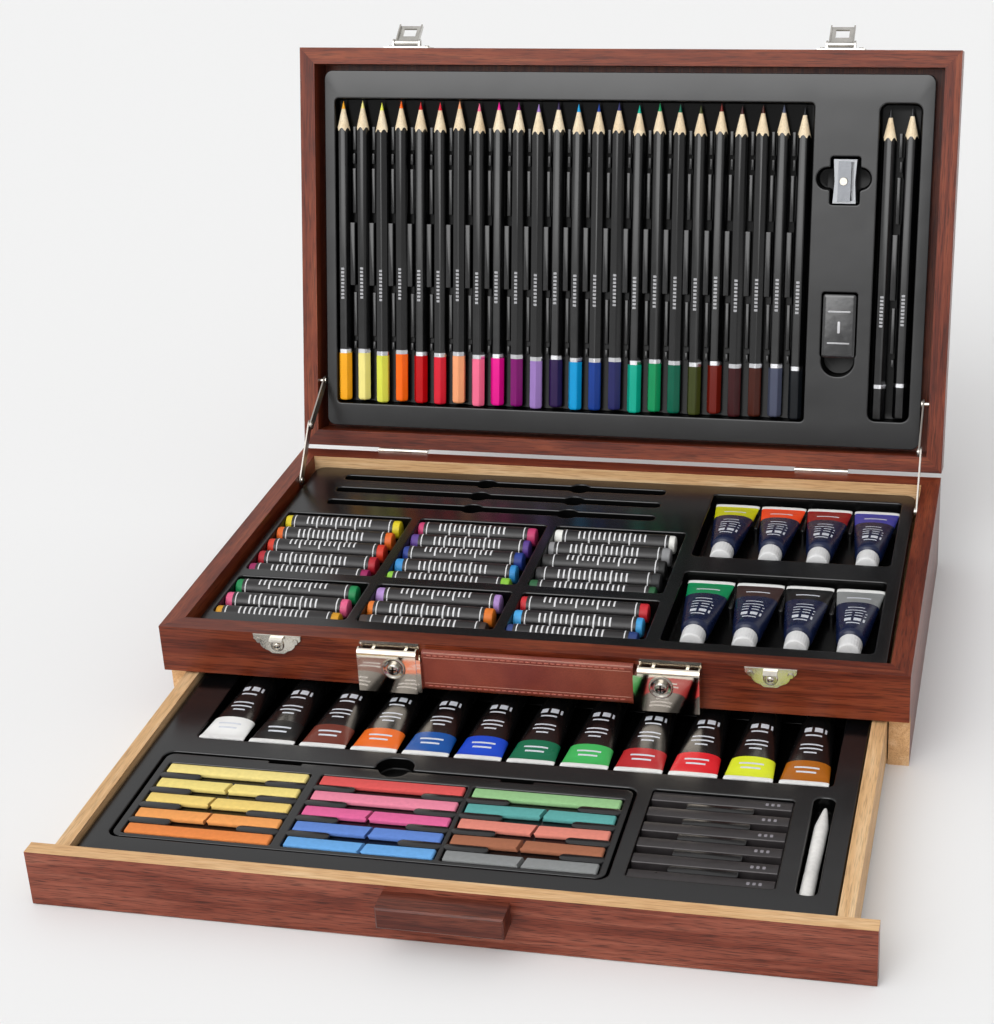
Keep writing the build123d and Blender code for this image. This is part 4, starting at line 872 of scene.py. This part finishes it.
# ---------------------------------------------------------------- drawer box
# A stained front with a bare top edge on a light box of plain boards, and a
# stained bar screwed to it as the pull.
FRONT_STAIN = ((0.2, "34100A"), (0.42, "6E301F"), (0.55, "8A4A38"), (0.78, "A06650"))
dress("drawer_front", wood_finish("drawer_front_wood", 0, FRONT_STAIN, bare=(0, 0, 1), pores=0.7), 0.5)
PULL_STAIN = ((0.2, "260A06"), (0.42, "502015"), (0.55, "683324"), (0.78, "7C4836"))
dress("drawer_pull", wood_finish("drawer_pull_wood", 0, PULL_STAIN, pores=0.6), 0.5)
box_board = wood_finish("drawer_side_wood", 1, BARE, pores=0.3, gloss=0.6)
box_back = wood_finish("drawer_back_wood", 0, BARE, pores=0.3, gloss=0.6)
dress("drawer_side_left", box_board, 0.5)
dress("drawer_side_right", box_board, 0.5)
dress("drawer_back", box_back, 0.4)
dress("drawer_bottom", box_back)

# ---------------------------------------------------------------- drawer tray
# One black sheet with a long well for the tubes and separate wells for the
# chalk plate, the graphite sticks and the stump.
DRAWER_TOP, GRAPHITE_Y, GRAPHITE_PITCH, GRAPHITE_DEPTH = 24.0, -186.7, 12.5, 9.2
drawer_wells = [
    ([(-160.0, 71.0, -258.2, -182.7, 6.0), (-55.6, -36.4, -189.7, -173.3, 7.8)], 6.0),
    (-150.6, 158.0, -170.1, -88.7, 4.0, 15.6),
    (76.6, 142.4, -253.7, -182.1, 2.5, GRAPHITE_DEPTH),
    (149.6, 160.4, -256.1, -178.3, 4.4, 7.6),
]
tray = new_sheet()
formed(tray, (-168.95, 168.95, -272.7, -76.7), 4.0, 18.8, drawer_wells)
for i in range(5):
    y = GRAPHITE_Y - GRAPHITE_PITCH * (i + 0.5)
    bump_up(tray, 93.9, 124.9, y - 2.65, y + 2.65, -GRAPHITE_DEPTH, -1.2, 1.2)
make_piece("drawer_tray_sheet", tray, [tray_sheet, well_painted_shade], "drawer", ("drawer_tray",),
           place=lambda x, y, z: (x, y, z + DRAWER_TOP), upward=(0, 0, 1))

# The chalk plate is formed from the same sheet, with finger notches in its rear
# edge, a pocket for each set and rounded ridges between the sticks.
CHALK_XS, CHALK_Y, CHALK_PITCH, PLATE_TOP, POCKET_DEPTH = (-118.6, -42.9, 30.4), -197.3, 12.9, 23.6, 2.4
PLATE_REAR, NOTCH_DEPTH = -184.7, 2.0
POCKET_STEPS = ((-0.4, 0), (0, 0), (0.2, 0.05), (0.42, 0.25), (0.55, 0.6), (0.7, 1.9), (0.9, 2.25), (1.3, POCKET_DEPTH))


def plate_outline(inset):
    """The plate's edge, with two square notches and one round one at the rear."""
    ring = rounded(-158.0, 69.0, -256.2, PLATE_REAR, 4.5, inset)
    rear = PLATE_REAR - inset
    cut = [(21.6 + inset, rear), (21.6 + inset, rear - NOTCH_DEPTH), (6.0 - inset, rear - NOTCH_DEPTH),
           (6.0 - inset, rear)]
    reach = 7.6 + inset
    start = math.asin(min(1.0, (2.2 + inset) / reach))
    for i in range(13):
        a = -start - (math.pi - 2 * start) * i / 12
        cut.append((-46.0 + reach * math.cos(a), -182.5 + reach * math.sin(a)))
    cut += [(-91.0 + inset, rear), (-91.0 + inset, rear - NOTCH_DEPTH), (-107.0 - inset, rear - NOTCH_DEPTH),
            (-107.0 - inset, rear)]
    return ring[:7] + cut + ring[7:]


plate = new_sheet()
holes = []
for x in CHALK_XS:
    pocket = (x - 36.0, x + 36.0, CHALK_Y - 4 * CHALK_PITCH - 5.2, CHALK_Y + 5.2, 2.0)
    holes.append(rounded(*pocket, -0.4))
    lay(plate, [[(px, py, -drop) for px, py in rounded(*pocket, inset)] for inset, drop in POCKET_STEPS])
    fill(plate, rounded(*pocket, 1.3), [], -POCKET_DEPTH)
    for i in range(4):
        y = CHALK_Y - (i + 0.5) * CHALK_PITCH
        for side in (-26.0, 26.0):
            bump_up(plate, x + side - 10.4, x + side + 10.4, y - 2.6, y + 2.6, -POCKET_DEPTH, 0.25, 2.5, 0.8)
lay(plate, [[(px, py, -drop) for px, py in plate_outline(inset)] for inset, drop in (*RIM_STEPS, (0.0, 3.4))])
fill(plate, plate_outline(0.6), holes, 0.0)
make_piece("chalk_plate_sheet", plate, [tray_sheet, well_painted_shade], "drawer", ("chalk_insert",),
           place=lambda x, y, z: (x, y, z + PLATE_TOP), upward=(0, 0, 1))

# ---------------------------------------------------------------- chalks
# Square sticks of pressed soft chalk, powdery, with eased edges. Several have
# snapped across the middle and lie end to end.
chalk_body = even_finish("soft_chalk", None, 0.9, vary=0.15, size=420, tooth=0.3, tooth_size=3200, specular=0.1)


def stick(sheet, x0, x1, y, wide, z0, z1, number, snapped_low=False, snapped_high=False, turn=0.0, edge=0.7):
    """A bar across the case. A snapped end is rough and slanting."""

    def end(snapped):
        if snapped:
            return [(0.0, 0.0, True), (0.25, 0.0, True)]
        return [(0.0, edge, False), (0.25, edge * 0.4, False), (edge, 0.0, False)]

    far = x1 - x0
    steps = end(snapped_low) + [(0.33 * far, 0.0, False), (0.66 * far, 0.0, False)]
    steps += [(far - along, inset, rough) for along, inset, rough in reversed(end(snapped_high))]
    rings = []
    middle = (x0 + x1) / 2
    for along, inset, rough in steps:
        ring = []
        for a, b in rounded(y - wide / 2, y + wide / 2, z0, z1, edge + 0.2, inset, 3):
            x = x0 + along
            if rough:
                x += 0.22 * (a - y) + 0.35 * math.sin(2.1 * a + 1.7 * b + x0) + 0.25 * math.sin(5.3 * a + y)
            ring.append((x, a + (x - middle) * turn, b))
        rings.append(ring)
    lay(sheet, rings, 0, number, first=True, last=True)


CHALKS = {
    "chalks_left": ("F0DC8C EFDA84 EED07A F0A25E E88A4C", (1, 2, 3)),
    "chalks_middle": ("DA5A58 E888A0 E0689A 6488D0 6CA8E2", (2, 3, 4)),
    "chalks_right": ("94C088 5FA6A2 DE8878 A46A50 8A8C8C", (1, 2, 3, 4)),
}
CHALK_HALF, CHALK_WIDE, CHALK_LOW, CHALK_HIGH = 34.5, 7.4, 21.3, 23.8
for x, (node, (tints, broken)) in zip(CHALK_XS, CHALKS.items()):
    sticks = new_sheet()
    low, high = x - CHALK_HALF, x + CHALK_HALF
    for i, tint in enumerate(tints.split()):
        y = CHALK_Y - i * CHALK_PITCH
        if i in broken:
            split = x + 2.5 * math.sin(1.9 * i + x)
            tilt = 0.012 * math.sin(2.7 * i + x)
            stick(sticks, low, split - 0.9, y, CHALK_WIDE, CHALK_LOW, CHALK_HIGH, tint, snapped_high=True, turn=tilt)
            stick(sticks, split + 0.9, high, y, CHALK_WIDE, CHALK_LOW, CHALK_HIGH - 0.1, tint, snapped_low=True,
                  turn=-tilt)
        else:
            stick(sticks, low, high, y, CHALK_WIDE, CHALK_LOW, CHALK_HIGH, tint)
    make_piece(node + "_piece", sticks, [chalk_body], "drawer", (node,), smooth=30)

# ---------------------------------------------------------------- graphite and stump
# Six square sticks of pressed graphite with a dull metallic face and a short
# grade mark, and a rolled paper stump with a blunt point.
graphite_face = even_finish("pressed_graphite", "3C3839", 0.32, 0.3, vary=0.35, size=260, tooth=0.2, tooth_size=1200)
grade_mark = even_finish("grade_mark", "8A868C", 0.5, vary=0.2, size=700)
sticks = new_sheet()
for i in range(6):
    y = GRAPHITE_Y - GRAPHITE_PITCH * i
    stick(sticks, 77.3, 141.5, y, 7.0, 14.9, 22.9, None, edge=0.45)
    for k in range(3):
        x = 129.0 + 2.6 * k
        lay(sticks, [[(px, py, z) for px, py in rounded(x, x + 1.5, y - 1.1, y + 1.1, 0.3, inset, 2)]
                     for inset, z in ((0, 22.88), (0.1, 22.93))], 1, last=True)
make_piece("graphite_sticks_piece", sticks, [graphite_face, grade_mark], "drawer", ("graphite_sticks",),
           smooth=30)

rolled_paper = even_finish("rolled_paper", "E6E4E0", 0.8, vary=0.2, size=500, tooth=0.5, tooth_size=2200, specular=0.2)
STUMP = ((0.0, 2.6), (0.4, 3.1), (1.0, 3.2), (18.0, 3.2), (18.3, 3.08), (36.0, 3.12), (36.3, 3.2), (56.0, 3.2),
         (60.0, 2.62), (66.0, 1.75), (70.0, 1.1), (71.6, 0.7), (72.0, 0.3))
roll = new_sheet()
lay(roll, [[(154.6 + 0.012 * along + a, -253.7 + along, 19.8 + b) for a, b in circle(r, 32)] for along, r in STUMP],
    first=True, last=True)
make_piece("blending_stump_piece", roll, [rolled_paper], "drawer", ("blending_stump",))
